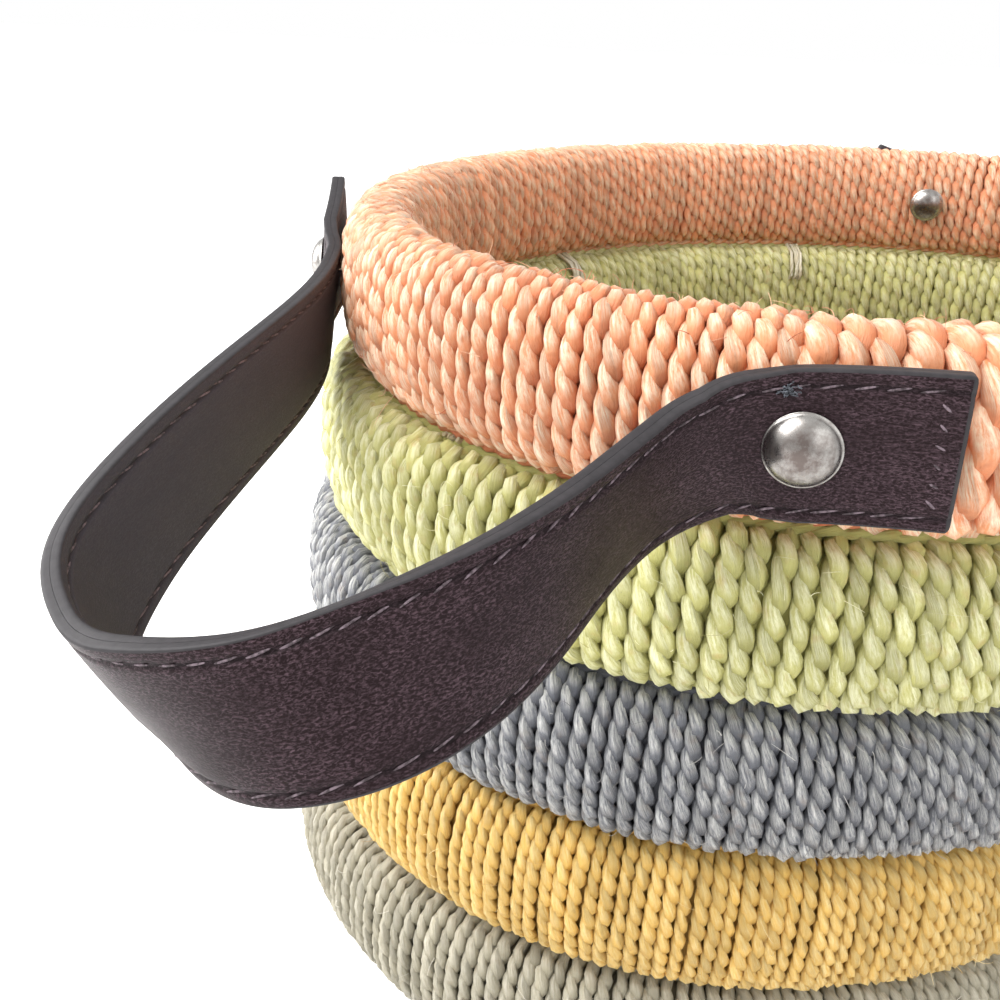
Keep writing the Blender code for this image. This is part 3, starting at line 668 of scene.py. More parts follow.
def strap_line(handle):
    """Even places along the strap: distance, point, forward, across and outward."""
    middle, axis, outward, half_span, ends = hinge_frame(handle)
    frames = [rivet_frame(handle, end) for end in (0, 1)]
    guides = [ends[0], ends[0] + frames[0][2] * TAB_LEAD * LOOP_LEAD_SHARE]
    for along, away, down in LOOP_SHARES:
        guides.append(middle + axis * half_span * along + outward * LOOP_REACH * away
                      - UP * LOOP_DROP * down)
    guides += [ends[1] + frames[1][2] * TAB_LEAD * LOOP_LEAD_SHARE, ends[1]]
    share = np.linspace(0, 1, 1501)
    loop = spline(guides, share)
    twist = np.interp(share, np.linspace(0, 1, len(LOOP_TWISTS)), LOOP_TWISTS)
    tabs = []
    for end, (seat, out, along, across) in enumerate(frames):
        away = np.linspace(TAB_TAIL, -TAB_LEAD, 241)[:-1]
        free = np.maximum(away, 0)
        drop = TAB_HUGS[end] * free ** 2 / (2 * BASKET_RADIUS)
        sag = TAIL_DROPS[handle][end] * (free / TAB_TAIL) ** 1.5
        tabs.append(seat - along * away[:, None] - out * drop[:, None] - across * sag[:, None])
    points = np.concatenate((tabs[0], loop, tabs[1][::-1]))
    twist = np.concatenate((np.zeros(240), twist, np.zeros(240)))
    length = np.concatenate(([0], np.cumsum(np.linalg.norm(np.diff(points, axis=0), axis=1))))
    count = int(round(length[-1] / STRAP_STEP))
    even = np.linspace(0, length[-1], count + 1)
    points = np.stack([np.interp(even, length, points[:, k]) for k in range(3)], axis=1)
    window = np.ones(11) / 11
    twist = np.convolve(np.pad(np.interp(even, length, twist), 5, "edge"), window, "valid")
    forward = unit(np.gradient(points, axis=0))
    across = unit(UP - forward * forward[:, 2:])
    out = np.cross(across, forward)
    turn = np.radians(twist)[:, None]
    across, out = (across * np.cos(turn) + out * np.sin(turn),
                   out * np.cos(turn) - across * np.sin(turn))
    return even, points, forward, across, out


STRAPS = [strap_line(handle) for handle in (0, 1)]
print("each strap is %.0f mm long" % (STRAPS[0][0][-1] * 1000))

# %% [markdown]
# ## Leather
# The strap is smooth leather, dyed nearly black with some aubergine in it, pressed with a fine
# pebble grain and lightly waxed. The pebbles are 0.3 to 0.5 mm wide and longer along the
# strap: a noise drawn out along the strap's own map gives them, and their tops are a little
# greyer, partly from wear and partly as a painted glint. The cut edges are sealed with matt
# paint, thicker than the dye.

# %% Leather materials
SEAMS = (0.0017 - STRAP_WIDTH / 2, STRAP_WIDTH / 2 - 0.0021)   # the two lines of stitches
PEBBLE_MAP, LINE_MAP, FOLD_MAP = (2300, 4800, 1), (420, 3800, 1), (160, 1300, 1)
WORN_FROM, WORN_TO = 0.020, 0.006   # from a cut end: where the lighter crease lines start and are full
# Along both seams the colour is painted darker, down to SEAM_SHADE of itself: painted shade in the
# seam's groove.
SEAM_SHADE, SEAM_CORE, SEAM_REACH = 0.45, 0.0001, 0.0005


def leather(name, base, wear_and_glint, grain, roughness, crease, gloss):
    """Smooth dyed leather: grain is how far the pebble tops are lightened, for wear and a painted
    glint, crease how much the folds count in the relief, and gloss how strongly it reflects."""
    material, tree, shader = new_material(name)
    chart = add_node(tree, "ShaderNodeUVMap", uv_map="strap").outputs[0]
    parts = add_node(tree, "ShaderNodeSeparateXYZ", {0: chart}).outputs
    half_length = STRAPS[0][0][-1] / 2

    def drawn_out(stretch, *settings):
        return noise(tree, vector_calc(tree, "MULTIPLY", chart, stretch), *settings)

    def distance(value, place):
        return calc(tree, "ABSOLUTE", calc(tree, "SUBTRACT", value, place))

    # Pebble tops, and crease lines near the cut ends, are lightened toward the second tone: partly
    # wear, partly a painted glint.
    top = remap(tree, drawn_out(PEBBLE_MAP, 0.85, 3.0, 0.6, 0.7), (0.46, 0.73))
    wide = drawn_out(PEBBLE_MAP, 0.02, 5.0, 0.75)
    tops = calc(tree, "MULTIPLY", top, remap(tree, wide, (0.36, 0.64), (0.30, 1.0)))
    ends = remap(tree, distance(parts["X"], half_length),
                 (half_length - WORN_FROM, half_length - WORN_TO))
    lines = remap(tree, drawn_out(LINE_MAP, 1.0, 3.0, 0.7), (0.55, 0.68), (0.0, 0.8))
    amount = calc(tree, "MAXIMUM", tops, calc(tree, "MULTIPLY", lines, ends))
    colour = mix(tree, calc(tree, "MULTIPLY", amount, grain), base, wear_and_glint)
    # Painted shade: darker along both seams, in their groove.
    from_seam = distance(distance(parts["Y"], sum(SEAMS) / 2), (SEAMS[1] - SEAMS[0]) / 2)
    seam = remap(tree, from_seam, (SEAM_CORE, SEAM_REACH), (SEAM_SHADE, 1.0))
    relief = calc(tree, "MULTIPLY_ADD", drawn_out(FOLD_MAP, 1.0, 3.0), crease, top)
    feed(tree, shader, {
        "Base Color": scaled(tree, colour, seam),
        "Roughness": remap(tree, wide, (0.3, 0.7), (roughness + 0.06, roughness - 0.06)),
        "Normal": bump(tree, relief, 0.6, 0.00007),
        "Specular IOR Level": gloss, "Specular Tint": linear("F0DCE2")})
    return material


def edge_paint():
    """Matt edge paint on cut leather: thick and a little uneven."""
    material, tree, shader = new_material("edge_paint")
    mottle = noise(tree, object_place(tree), 900.0, 3.0)
    feed(tree, shader, {"Base Color": mix(tree, mottle, "1A181A", "373336"),
                        "Normal": bump(tree, mottle, 0.4, 0.0001),
                        "Roughness": 0.55, "Specular IOR Level": 0.35})
    return material


FACE_LEATHER = leather("grained_face_leather", "160B0D", "66525A", 0.9, 0.42, 1.0, 0.20)
LINING_LEATHER = leather("plain_lining_leather", "38363A", "5C585C", 0.30, 0.60, 0.5, 0.3)
EDGE_PAINT = edge_paint()

# %% [markdown]
# ## The strap
# Two layers of leather are sewn back to back. Each layer is a section drawn across the width
# and carried along the strap's line: the outer side is slightly crowned, with a groove where
# the seam pulls it down and a soft roll between the seam and the edge. The cut ends have
# small rounded corners. A map in metres follows the strap for the grain.

# %% Strap pieces
SEAM_GROOVE = 0.00034
CORNER_RADIUS = 0.0007        # of the cut ends, seen from the front
EDGE_RADIUS = 0.00034         # where a face turns over into the edge
END_BEVEL = 0.0007            # length of the painted, thinned edge at a cut end
PARTING = 0.00002             # half of the crease between the two layers


def layer_section():
    """One layer's section from edge to edge: places across, depths, and whether it is edge."""
    half, thick = STRAP_WIDTH / 2, STRAP_THICKNESS / 2
    near = np.array((-0.0010, -0.0006, -0.0004, -0.0002, 0, 0.0002, 0.0004, 0.0006, 0.0010))
    flat = np.concatenate((SEAMS[0] + near, np.linspace(SEAMS[0] + 0.002, SEAMS[1] - 0.002, 11),
                           SEAMS[1] + near))
    flat = np.concatenate(([EDGE_RADIUS - half], flat, [half - EDGE_RADIUS]))
    depth = thick - SEAM_GROOVE * sum(np.exp(-((flat - seam) / 0.00036) ** 2) for seam in SEAMS)
    depth = depth - 0.00022 * (flat / half) ** 2
    rows = [(w, d, False) for w, d in zip(flat, depth)]
    turn = np.radians((60, 35, 12))
    edge = [(half - EDGE_RADIUS + EDGE_RADIUS * math.cos(t),
             depth[-1] - EDGE_RADIUS + EDGE_RADIUS * math.sin(t), True) for t in turn]
    edge += [(half + 0.00003, thick * 0.45, True), (half, PARTING, True)]
    back = [(-w, d, e) for w, d, e in reversed(edge)]
    return back + rows + edge


def end_squeeze(distance, total):
    """How much narrower the strap is near a cut end, so that its corners are round."""
    left = np.minimum(distance, total - distance)
    inside = np.clip(CORNER_RADIUS - left, 0, CORNER_RADIUS)
    return CORNER_RADIUS - np.sqrt(CORNER_RADIUS ** 2 - inside ** 2)


def strap_layer(name, handle, side, finish):
    """side is 1 for the face and -1 for the lining."""
    even, points, _, across, out = STRAPS[handle]
    extra = np.array((0.00006, 0.0002, 0.0004, 0.0006, 0.00109, 0.00111))
    distance = np.sort(np.concatenate((even, extra, even[-1] - extra)))
    centre, wide, deep = (np.stack([np.interp(distance, even, values[:, k]) for k in range(3)],
                                   axis=1) for values in (points, across, out))
    section = layer_section()
    squeeze = end_squeeze(distance, even[-1])
    near = np.minimum(distance, even[-1] - distance)
    thin = 1 - 0.38 * np.clip(1 - near / END_BEVEL, 0, 1) ** 1.6
    shape = bmesh.new()
    chart = shape.loops.layers.uv.new("strap")
    rings = []
    for w, d, _ in section:
        place = w * (1 - squeeze / (STRAP_WIDTH / 2))
        rows = centre + wide * place[:, None] + deep * (side * d * thin)[:, None]
        rings.append([shape.verts.new(row) for row in rows])
    count = len(distance)
    around = len(section)
    for i in range(around):
        j = (i + 1) % around
        is_edge = section[i][2] or section[j][2]
        for k in range(count - 1):
            corners = [rings[i][k], rings[j][k], rings[j][k + 1], rings[i][k + 1]]
            face = shape.faces.new(corners if side < 0 else corners[::-1])
            face.smooth = True
            painted = is_edge or max(near[k], near[k + 1]) < END_BEVEL
            face.material_index = 1 if painted else 0
            for loop in face.loops:
                step = k + (loop.vert in (rings[j][k + 1], rings[i][k + 1]))
                row = j if loop.vert in (rings[j][k], rings[j][k + 1]) else i
                loop[chart].uv = (distance[step] + (0.3 if side < 0 else 0), section[row][0])
    for k in (0, count - 1):
        face = shape.faces.new([ring[k] for ring in rings])
        face.material_index = 1
    for ring in (rings[0], rings[-1]):
        for k in range(count - 1):
            shape.edges.get((ring[k], ring[k + 1])).smooth = False
    return mesh_piece(name, shape, finish, EDGE_PAINT)


SIDES = ("left", "right")


def bend_with_loop(piece, handle):
    """Bake the piece's transform into its mesh; the hinge is looked up but not used, and nothing
    is bent.
    """
    middle, _, outward, _, _ = hinge_frame(handle)
    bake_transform(piece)


for handle, side in enumerate(SIDES):
    for layer, sign, finish, slot in (("face", 1, FACE_LEATHER, "leather"),
                                      ("lining", -1, LINING_LEATHER, "lining")):
        piece = strap_layer("%s_strap_%s" % (side, layer), handle, sign, finish)
        bend_with_loop(piece, handle)
        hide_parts(*("%s_handle_%s_%s" % (side, part, layer)
                             for part in ("tab_1", "tab_2", "loop")))
    print(side, "strap:", len(piece.data.polygons), "faces in a layer")

# %% [markdown]
# ## Stitches
# A waxed thread, mauve-grey, runs along both edges and across the cut ends, 3.5 mm from hole
# to hole. Every stitch is the same small rod with rounded ends, so a tree puts one on each
# point of a guide and turns it along the seam. The points lie in the groove of the strap.

# %% Stitches
STITCH_PITCH, STITCH_LENGTH = 0.0035, 0.0038
THREAD_RADIUS = 0.00018


def stitch_tree():
    tree = new_tree("saddle_stitches", (
        ("Thread Radius", "NodeSocketFloat", THREAD_RADIUS),
        ("Stitch Length", "NodeSocketFloat", STITCH_LENGTH),
        ("Material", "NodeSocketMaterial", None)))
    given = add_node(tree, "NodeGroupInput").outputs
    ahead, lifted, scale = (read(tree, key, "FLOAT_VECTOR") for key in ("ahead", "lifted", "size"))
    ball = add_node(tree, "GeometryNodeMeshUVSphere", {"Segments": 8, "Rings": 6, "Radius": 1.0})
    ball = add_node(tree, "GeometryNodeSetShadeSmooth", {"Geometry": ball.outputs[0]})
    size = add_node(tree, "ShaderNodeCombineXYZ", {
        "X": given["Thread Radius"], "Y": given["Thread Radius"],
        "Z": calc(tree, "MULTIPLY", given["Stitch Length"], 0.5)})
    rod = add_node(tree, "GeometryNodeTransform",
                   {"Geometry": ball.outputs[0], "Scale": size.outputs[0]})
    turn = add_node(tree, "FunctionNodeAxesToRotation",
                    {"Primary Axis": ahead, "Secondary Axis": lifted},
                    primary_axis="Z", secondary_axis="X")
    rods = add_node(tree, "GeometryNodeInstanceOnPoints",
                    {"Points": given["Geometry"], "Instance": rod.outputs[0],
                     "Rotation": turn.outputs[0], "Scale": scale})
    return close_tree(tree, rods.outputs[0], given["Material"])


def waxed_thread(name, *colours):
    """Waxed polyester thread, matt."""
    return mottled(name, colours, 1500.0, 3.0, 0.6, (0.40, 0.62))


STITCH_TREE = stitch_tree()
THREADS = (waxed_thread("waxed_mauve_thread", "32262A", "786870"),
           waxed_thread("waxed_dark_thread", "2C2527", "6E5C5F"))
STITCH_SLANT = -0.20           # sideways for one along, because the holes are cut slanting


def strap_place(handle, where):
    """Point, forward, across and outward at a distance along a strap."""
    even = STRAPS[handle][0]
    return [np.array([np.interp(where, even, values[:, k]) for k in range(3)])
            for values in STRAPS[handle][1:]]


def stitch_points(handle, side):
    """Middles, directions, surface normals and sizes of the stitches on one side of a strap."""
    rng = np.random.default_rng(7 + handle)
    total = STRAPS[handle][0][-1]
    depth = side * (STRAP_THICKNESS / 2 - SEAM_GROOVE - 0.00022 + THREAD_RADIUS * 0.5)
    first, last = END_BEVEL + 0.0022, total - END_BEVEL - 0.0022
    rows = []
    for seam in SEAMS:
        for where in np.arange(first + STITCH_PITCH / 2, last, STITCH_PITCH):
            centre, ahead, wide, lift = strap_place(handle, where + rng.uniform(-0.0001, 0.0001))
            slant = wide * (STITCH_SLANT + rng.uniform(-0.04, 0.04))
            size = (rng.uniform(0.85, 1.15), rng.uniform(0.85, 1.15), rng.uniform(0.93, 1.06))
            rows.append((centre + wide * seam + lift * depth, unit(ahead + slant),
                         lift * side, size))
    for where in (first, last):
        centre, ahead, wide, lift = strap_place(handle, where)
        for place in np.linspace(SEAMS[0] + 0.0020, SEAMS[1] - 0.0018, 6):
            rows.append((centre + wide * place + lift * (depth + side * 0.00034),
                         unit(wide * 0.6 + ahead * rng.uniform(0.6, 1.4)), lift * side,
                         (1.25, 1.1, rng.uniform(0.34, 0.46))))
    return [np.array(column) for column in zip(*rows)]


for handle, side in enumerate(SIDES):
    for layer, sign in (("face", 1), ("lining", -1)):
        places, ahead, lifted, size = stitch_points(handle, sign)
        guide = guide_mesh("seam", places, np.zeros((0, 2)),
                           {"ahead": ahead, "lifted": lifted, "size": size})
        piece = apply_tree(guide, STITCH_TREE, "%s_strap_%s_stitches" % (side, layer),
                           {"Material": THREADS[sign < 0]})
        bend_with_loop(piece, handle)
    print(side, "strap:", len(places), "stitches on a side")

# %% [markdown]
# ## Rivets
# Each strap end is held by a nickel-plated steel rivet. The head is a pressed dome with a
# rolled rim; the cap inside the basket is the same but flatter. A profile is turned round an
# axis. The plating is bright, with fine scratches and a few dull spots, and the dome is not
# quite even, so its reflections wander. Its middle is painted darker and browner, a painted
# reflection.

# %% Rivets
HEAD_RADIUS, HEAD_DOME, HEAD_EDGE = 0.00485, 0.0024, 0.0005
POST_RADIUS = 0.0016
CAP_CLEARANCE = 0.0011
TURNED_STEPS = 64
PAINTED_REFLECTION_RADIUS = HEAD_RADIUS * 0.56   # how far the darker middle of a head reaches: a painted reflection


def nickel_plate():
    material, tree, shader = new_material("nickel_plated_steel")
    place = object_place(tree)
    dull = noise(tree, place, 700.0, 5.0, 0.7)
    # Dull spots from the noise, and a painted reflection: the middle of each dome is darker and
    # browner.
    dull_spots_and_dark_middle = calc(tree, "MULTIPLY_ADD", attribute(tree, "middle"), 0.26, dull)
    stain_and_painted_dark = remap(tree, dull_spots_and_dark_middle, (0.42, 0.80), (0.0, 0.85))
    feed(tree, shader, {"Base Color": mix(tree, stain_and_painted_dark, "AAA7A3", "625550"),
                        "Roughness": remap(tree, dull, (0.35, 0.7), (0.20, 0.42)),
                        "Normal": bump(tree, noise(tree, place, 260.0, 1.0), 0.4, 0.0003),
                        "Metallic": 1.0})
    return material


NICKEL = nickel_plate()


def turned_piece(name, profile, place, axis):
    """Turn a profile of (radius, height) pairs round an axis; it starts and ends on the axis."""
    axis = Vector(axis)
    turn = axis.to_track_quat("Z", "Y")
    shape = bmesh.new()
    rings = []
    for radius, height in profile:
        steps = TURNED_STEPS if radius else 1
        rings.append([shape.verts.new(Vector(place) + turn @ Vector(
            (radius * math.cos(math.tau * i / steps), radius * math.sin(math.tau * i / steps),
             height))) for i in range(steps)])
    for upper, lower in zip(rings, rings[1:]):
        for i in range(TURNED_STEPS):
            j = (i + 1) % TURNED_STEPS
            corners = {upper[i % len(upper)]: 0, upper[j % len(upper)]: 0,
                       lower[j % len(lower)]: 0, lower[i % len(lower)]: 0}
            shape.faces.new(list(corners)).smooth = True
    piece = mesh_piece(name, shape, NICKEL)
    spots = np.array([vertex.co for vertex in piece.data.vertices]) - np.array(place)
    away = np.linalg.norm(spots - np.outer(spots @ np.array(axis), axis), axis=1)
    # middle: near the axis, where the painted reflection darkens a head.
    middle = piece.data.attributes.new("middle", "FLOAT", "POINT")
    middle.data.foreach_set("value", np.clip(1.5 - away / PAINTED_REFLECTION_RADIUS, 0, 1).astype(np.float32))
    return piece


def dome(radius, rise, edge):
    """A pressed dome in a narrow flat rim, a little flattened in its middle."""
    turn = np.radians(np.linspace(0, 72, 12))
    rows = [(radius * 0.955 * math.sin(t) / math.sin(turn[-1]),
             edge + rise * (math.cos(t) - math.cos(turn[-1])) / (1 - math.cos(turn[-1])))
            for t in turn]
    return rows + [(radius * 0.975, edge * 0.93), (radius * 0.995, edge * 0.85),
                   (radius, edge * 0.6)]


for handle, side in enumerate(SIDES):
    for end in (0, 1):
        seat, out, _, _ = rivet_frame(handle, end)
        head_seat = seat + out * (STRAP_THICKNESS / 2)
        cap_seat = seat - out * (STRAP_THICKNESS / 2 + COIL_GAP + COIL_DEPTH + CAP_CLEARANCE)
        reach = np.linalg.norm(head_seat - cap_seat)
        head = dome(HEAD_RADIUS, HEAD_DOME, HEAD_EDGE)
        head += [(HEAD_RADIUS - 0.00012, 0.00012), (HEAD_RADIUS - 0.0004, 0.0),
                 (POST_RADIUS, 0.0), (POST_RADIUS, -reach - 0.0012), (0, -reach - 0.0012)]
        name = "%s_rivet_%d" % (side, end + 1)
        piece = turned_piece(name + "_dome", head, head_seat, out)
        hand_in(piece, "nickel", name + "_head")
        cap = dome(HEAD_RADIUS * 0.92, HEAD_DOME * 0.8, HEAD_EDGE)
        cap += [(HEAD_RADIUS * 0.92 - 0.0003, 0.0), (POST_RADIUS + 0.0002, 0.0),
                (POST_RADIUS + 0.0002, 0.0014), (0, 0.0014)]
        piece = turned_piece(name + "_back", cap, cap_seat, -out)
        hand_in(piece, "nickel", name + "_cap")
print("4 rivets, with heads outside and caps inside")

# %% [markdown]
# ## Cores
# Inside each winding lies a bundle of dry grass stems. Hardly any of it can be seen between
# the cords, so each one is a plain lumpy rope with a streaked finish in a dark tone of the
# cord's colour: painted shade for the gaps between the cords.

# %% Cores
CORE_INSET = 0.0027
CORE_SIDES = 16
CORE_LUMPS = 0.03             # how uneven the rope is, as a share of its size
# Dark tones of each cord's colour: painted shade where the bundle shows between the cords.
GAP_SHADE_TONES = {"coral": ("8C4628", "B8643C"), "green": ("7C783C", "A29E5A"),
          "charcoal": ("383A42", "585A60"), "ochre": ("92702E", "B88C40"),
          "taupe": ("6A644F", "8C8570"), "natural": ("6A583C", "9A8458")}
GRASS = {name: mottled("dry_grass_" + name, tones, 500.0, 3.0, 0.8)
         for name, tones in GAP_SHADE_TONES.items()}


def bundle(name, stain_and_painted_dark, rail, half_depth, half_height, stations, closed):
    """A lumpy rope along a rail."""
    rng = np.random.default_rng(len(name))
    shares = np.linspace(0, 1, stations, endpoint=not closed)
    centre, out, scale, _ = rail(shares)
    walk = section_walk(half_depth, half_height, CORE_SIDES)[0]
    lumps = 1 + rng.uniform(-CORE_LUMPS, CORE_LUMPS, (stations, CORE_SIDES))
    shape = bmesh.new()
    rings = []
    for i in range(stations):
        places = (centre[i] + out[i] * (walk[:, :1] * scale[i] * lumps[i][:, None])
                  + UP * (walk[:, 1:] * scale[i] * lumps[i][:, None]))
        rings.append([shape.verts.new(place) for place in places])
    for i in range(stations if closed else stations - 1):
        upper, lower = rings[i], rings[(i + 1) % stations]
        for k in range(CORE_SIDES):
            j = (k + 1) % CORE_SIDES
            shape.faces.new((upper[k], upper[j], lower[j], lower[k])).smooth = True
    if not closed:
        shape.faces.new(rings[0])
        shape.faces.new(rings[-1])
    return mesh_piece(name, shape, GRASS[stain_and_painted_dark])


for level, name in enumerate(LEVELS):
    piece = bundle(name + "_grass_bundle", name, level_rail(level), COIL_DEPTH / 2 - CORE_INSET,
                   (COIL_RISE - COIL_GAP) / 2 - CORE_INSET, 180, True)
    hand_in(piece, "core", name + "_core")
print("5 grass bundles in the wall")

# %% [markdown]
# ## The base
# The bottom is one coil laid in a spiral, wound with undyed cord. It steps inwards once a turn
# and its two ends are tapered. A short spindle, wound in the same way, fills the middle. Both
# are wound by the same function as the wall, round other rails.

# %% Base
BASE_HEIGHT, BASE_TURNS = 0.0150, 3
BASE_TURN_GAP, BASE_CLEARANCE, BASE_STEP_SHARE = 0.0014, 0.0016, 0.17
BASE_TIP_SHARE = 0.16
BASE_START_CLEARANCE, BASE_START_SHARE = 0.0009, 0.94
BASE_GAUGE, BASE_STEPS = 1.18, 22
LAST = len(LEVELS) - 1
base_oval = OVAL_RIM_SHARE + OVAL_STEP_SHARE * LAST
base_turn = math.radians(OVAL_RIM_DIRECTION + OVAL_DIRECTION_STEP * LAST)
base_radius = BASKET_RADIUS * RADIUS_SHARES[LAST]
base_inset = COIL_DEPTH / 2 + BASE_CLEARANCE
base_middle = np.array((BASKET_RADIUS * SHIFT_SHARES[LAST][0] + SHIFT.x,
                        BASKET_RADIUS * SHIFT_SHARES[LAST][1] + SHIFT.y, 0.0))
base_long = np.array((math.cos(base_turn), math.sin(base_turn), 0.0))
base_half_length = base_radius * (1 + base_oval) - base_inset
base_half_width = base_radius * (1 - base_oval) - base_inset
base_pitch = base_half_width / (BASE_TURNS + 0.5)
base_width = base_pitch - BASE_TURN_GAP


def base_spiral():
    """Points and scales of the spiral coil, close together, from its outer to its inner end."""
    turn = np.linspace(-BASE_STEP_SHARE, BASE_TURNS, 3000)
    within = turn - np.floor(turn)
    step = np.clip((within - (1 - BASE_STEP_SHARE)) / BASE_STEP_SHARE, 0, 1)
    step = step * step * (3 - 2 * step)
    inward = base_pitch * (np.floor(turn) + step) + base_width / 2
    ending = turn > BASE_TURNS - BASE_STEP_SHARE
    room = np.where(turn < 0, base_pitch * step,
                    np.where(ending, base_pitch * (1 - step), base_pitch))
    scale = np.minimum(1, (room - BASE_TURN_GAP) / base_width)
    inward = np.where(turn < 0, scale * base_width / 2, inward)
    inward = np.where(ending & (room < base_pitch),
                      base_pitch * BASE_TURNS - BASE_TURN_GAP - scale * base_width / 2, inward)
    angle = base_turn + math.tau * turn
    rim, out = footprint(LAST, angle)
    rim = (rim - out * base_inset - base_middle) * (1, 1, 0)
    share = (1 - inward / base_half_width)[:, None]
    line = np.outer(np.cos(math.tau * turn), base_long) * (base_half_length - base_half_width)
    points = base_middle + line * (1 - share) + rim * share
    points[:, 2] = scale * BASE_HEIGHT / 2
    keep = scale >= BASE_TIP_SHARE
    return points[keep], scale[keep]


def base_spindle():
    """Points and scales of the piece in the middle of the base."""
    space = base_pitch / 2 + BASE_TURN_GAP
    full = space - BASE_START_CLEARANCE
    reach = base_half_length - base_half_width + space
    share = np.linspace(-BASE_START_SHARE, BASE_START_SHARE, 200)
    scale = (space * np.sqrt(1 - share ** 2) - BASE_START_CLEARANCE) / full
    points = base_middle + np.outer(share * reach, base_long)
    points[:, 2] = scale * BASE_HEIGHT / 2
    return points, scale


def line_rail(points, scale):
    flat = points * (1, 1, 0)
    length = np.concatenate(([0], np.cumsum(np.linalg.norm(np.diff(flat, axis=0), axis=1))))
    ahead = unit(np.gradient(flat, axis=0))
    out = np.stack((ahead[:, 1], -ahead[:, 0], 0 * ahead[:, 0]), axis=1)

    def rail(share):
        at = np.asarray(share) * length[-1]
        place, side = (np.stack([np.interp(at, length, values[:, k]) for k in range(3)], axis=1)
                       for values in (points, out))
        return place, unit(side), np.interp(at, length, scale), length[-1]
    return rail


def base_gauge(share):
    return np.full(np.shape(share), BASE_GAUGE)


for name, line, half_depth in (
        ("base_wrap", base_spiral(), base_width / 2),
        ("base_start", base_spindle(), base_pitch / 2 + BASE_TURN_GAP - BASE_START_CLEARANCE)):
    rail = line_rail(*line)
    cord = wind(rail, 60 + len(name), half_depth, BASE_HEIGHT / 2, base_gauge, BASE_STEPS)
    piece = wound_piece(name + "_winding", cord, 0, len(cord["line"]) - 1, "natural", PLY_SIDES)
    hand_in(piece, "natural", name)
    print(name, "winding:", cord["turns"], "turns,", len(piece.data.polygons), "faces")
piece = bundle("base_grass_bundle", "natural", line_rail(*base_spiral()),
               base_width / 2 - CORE_INSET, BASE_HEIGHT / 2 - CORE_INSET, 260, False)
hand_in(piece, "core", "base_core")

# %% [markdown]
# ## Lacing
# The coils of the wall are held together by a cord that is sewn from one to the next on the
# inside. Each stitch bridges the groove as a few short pale strands. In the groove two runs
# lie one above the other, each dyed like the coil next to it. The lines are swept by the cord
# tree, thinner than the windings.

# %% Lacing
LACES_PER_LEVEL = 8
LACE_FILL = 0.72              # gauge of the strand in the groove
LACE_LIFT = 0.0008            # how far its two runs lie above and below the middle
LACE_GAUGE = 0.30             # of the strands in a stitch
LACE_STRANDS = 4
LACE_SPREAD = 0.0010          # from one strand of a stitch to the next
LACE_TURN = math.radians(15)  # where the first stitch sits


def groove_line(level, lift):
    """A closed line in the groove below a level, raised or lowered by a lift."""
    angle = np.linspace(0, math.tau, 300, endpoint=False)
    return (footprint(level, angle)[0] + footprint(level + 1, angle)[0]) / 2 + UP * lift


def stitch_line(level, angle):
    """One strand of a stitch: out of the groove, down the lower coil's inner side and in."""
    half = (COIL_RISE - COIL_GAP) / 2
    points, outs = footprint(level + 1, angle)
    lift = np.array((1.02, 1.00, 0.90, 0.76, 0.62, 0.50, 0.42, 0.36)) * half
    room = np.maximum(1 - (lift / half) ** SECTION_POWER, 0)
    depth = COIL_DEPTH / 2 * room ** (1 / SECTION_POWER)
    proud = np.array((0.0, 0.0002, 0.0005, 0.0007, 0.0007, 0.0004, -0.0006, -0.0022))
    return points + UP * lift[:, None] - outs * (depth + proud)[:, None]


def lace_piece(name, lines, gauges, closed, finish):
    """Sweep lines with the cord tree, each with its own gauge."""
    count = [len(line) for line in lines]
    starts = np.cumsum([0] + count)
    edges = [(start + k, start + (k + 1) % n) for start, n in zip(starts, count)
             for k in range(n if closed else n - 1)]
    points = np.concatenate(lines)
    gauge = np.repeat(gauges, count)
    step = np.concatenate([np.linalg.norm(np.diff(line, axis=0, prepend=line[:1]), axis=1)
                           for line in lines])
    guide = guide_mesh("lace_line", points, edges, {
        "outward": -unit(points * (1, 1, 0) - points.mean(axis=0) * (1, 1, 0)),
        "turn": np.cumsum(step / gauge) * math.tau / CORD_LAY,
        "gauge": gauge, "tone": np.full(len(points), 0.9)})
    return apply_tree(guide, CORD_TREE, name,
                      {"Material": CORD_FINISHES[finish], "Sides": PLY_SIDES})


for level in range(LAST):
    rng = np.random.default_rng(20 + level)
    lines, gauges = [], []
    for i in range(LACES_PER_LEVEL):
        middle = math.tau * (i + (level % 2) / 2) / LACES_PER_LEVEL + LACE_TURN
        for k in range(LACE_STRANDS):
            away = (k - (LACE_STRANDS - 1) / 2) * LACE_SPREAD + rng.uniform(-0.0001, 0.0001)
            lean = rng.uniform(-0.0004, 0.0004, 8).cumsum() / BASKET_RADIUS
            angle = middle + away / BASKET_RADIUS + lean
            lines.append(np.array([stitch_line(level, turn)[j] for j, turn in enumerate(angle)]))
            gauges.append(LACE_GAUGE * rng.uniform(0.85, 1.1))
    name = "lacing_%s_%s" % (LEVELS[level], LEVELS[level + 1])
    for title, strands, sizes, closed, finish in (
            ("_stitches", lines, gauges, False, "natural"),
            ("_upper_run", [groove_line(level, LACE_LIFT)], [LACE_FILL], True, LEVELS[level]),
            ("_lower_run", [groove_line(level, -LACE_LIFT)], [LACE_FILL], True,
             LEVELS[level + 1])):
        hand_in(lace_piece(name + title, strands, sizes, closed, finish), "natural", name)
print("4 lacing cords,", LACES_PER_LEVEL, "stitches each")

# %% [markdown]
# ## Stray fibres
# Sisal sheds: fine stiff hairs stand off the cords all over, most of them on the rim. A hair
# starts inside the winding, leaves it at a slant and bends a little. The hairs are lines of a
# few points, and a tree gives them a three-sided section, which is enough for their size.

# %% Stray fibres
FIBRE_RADIUS = 0.00006
FIBRE_COUNTS = {"coral": 1500, "green": 550, "charcoal": 650, "ochre": 300, "taupe": 300}


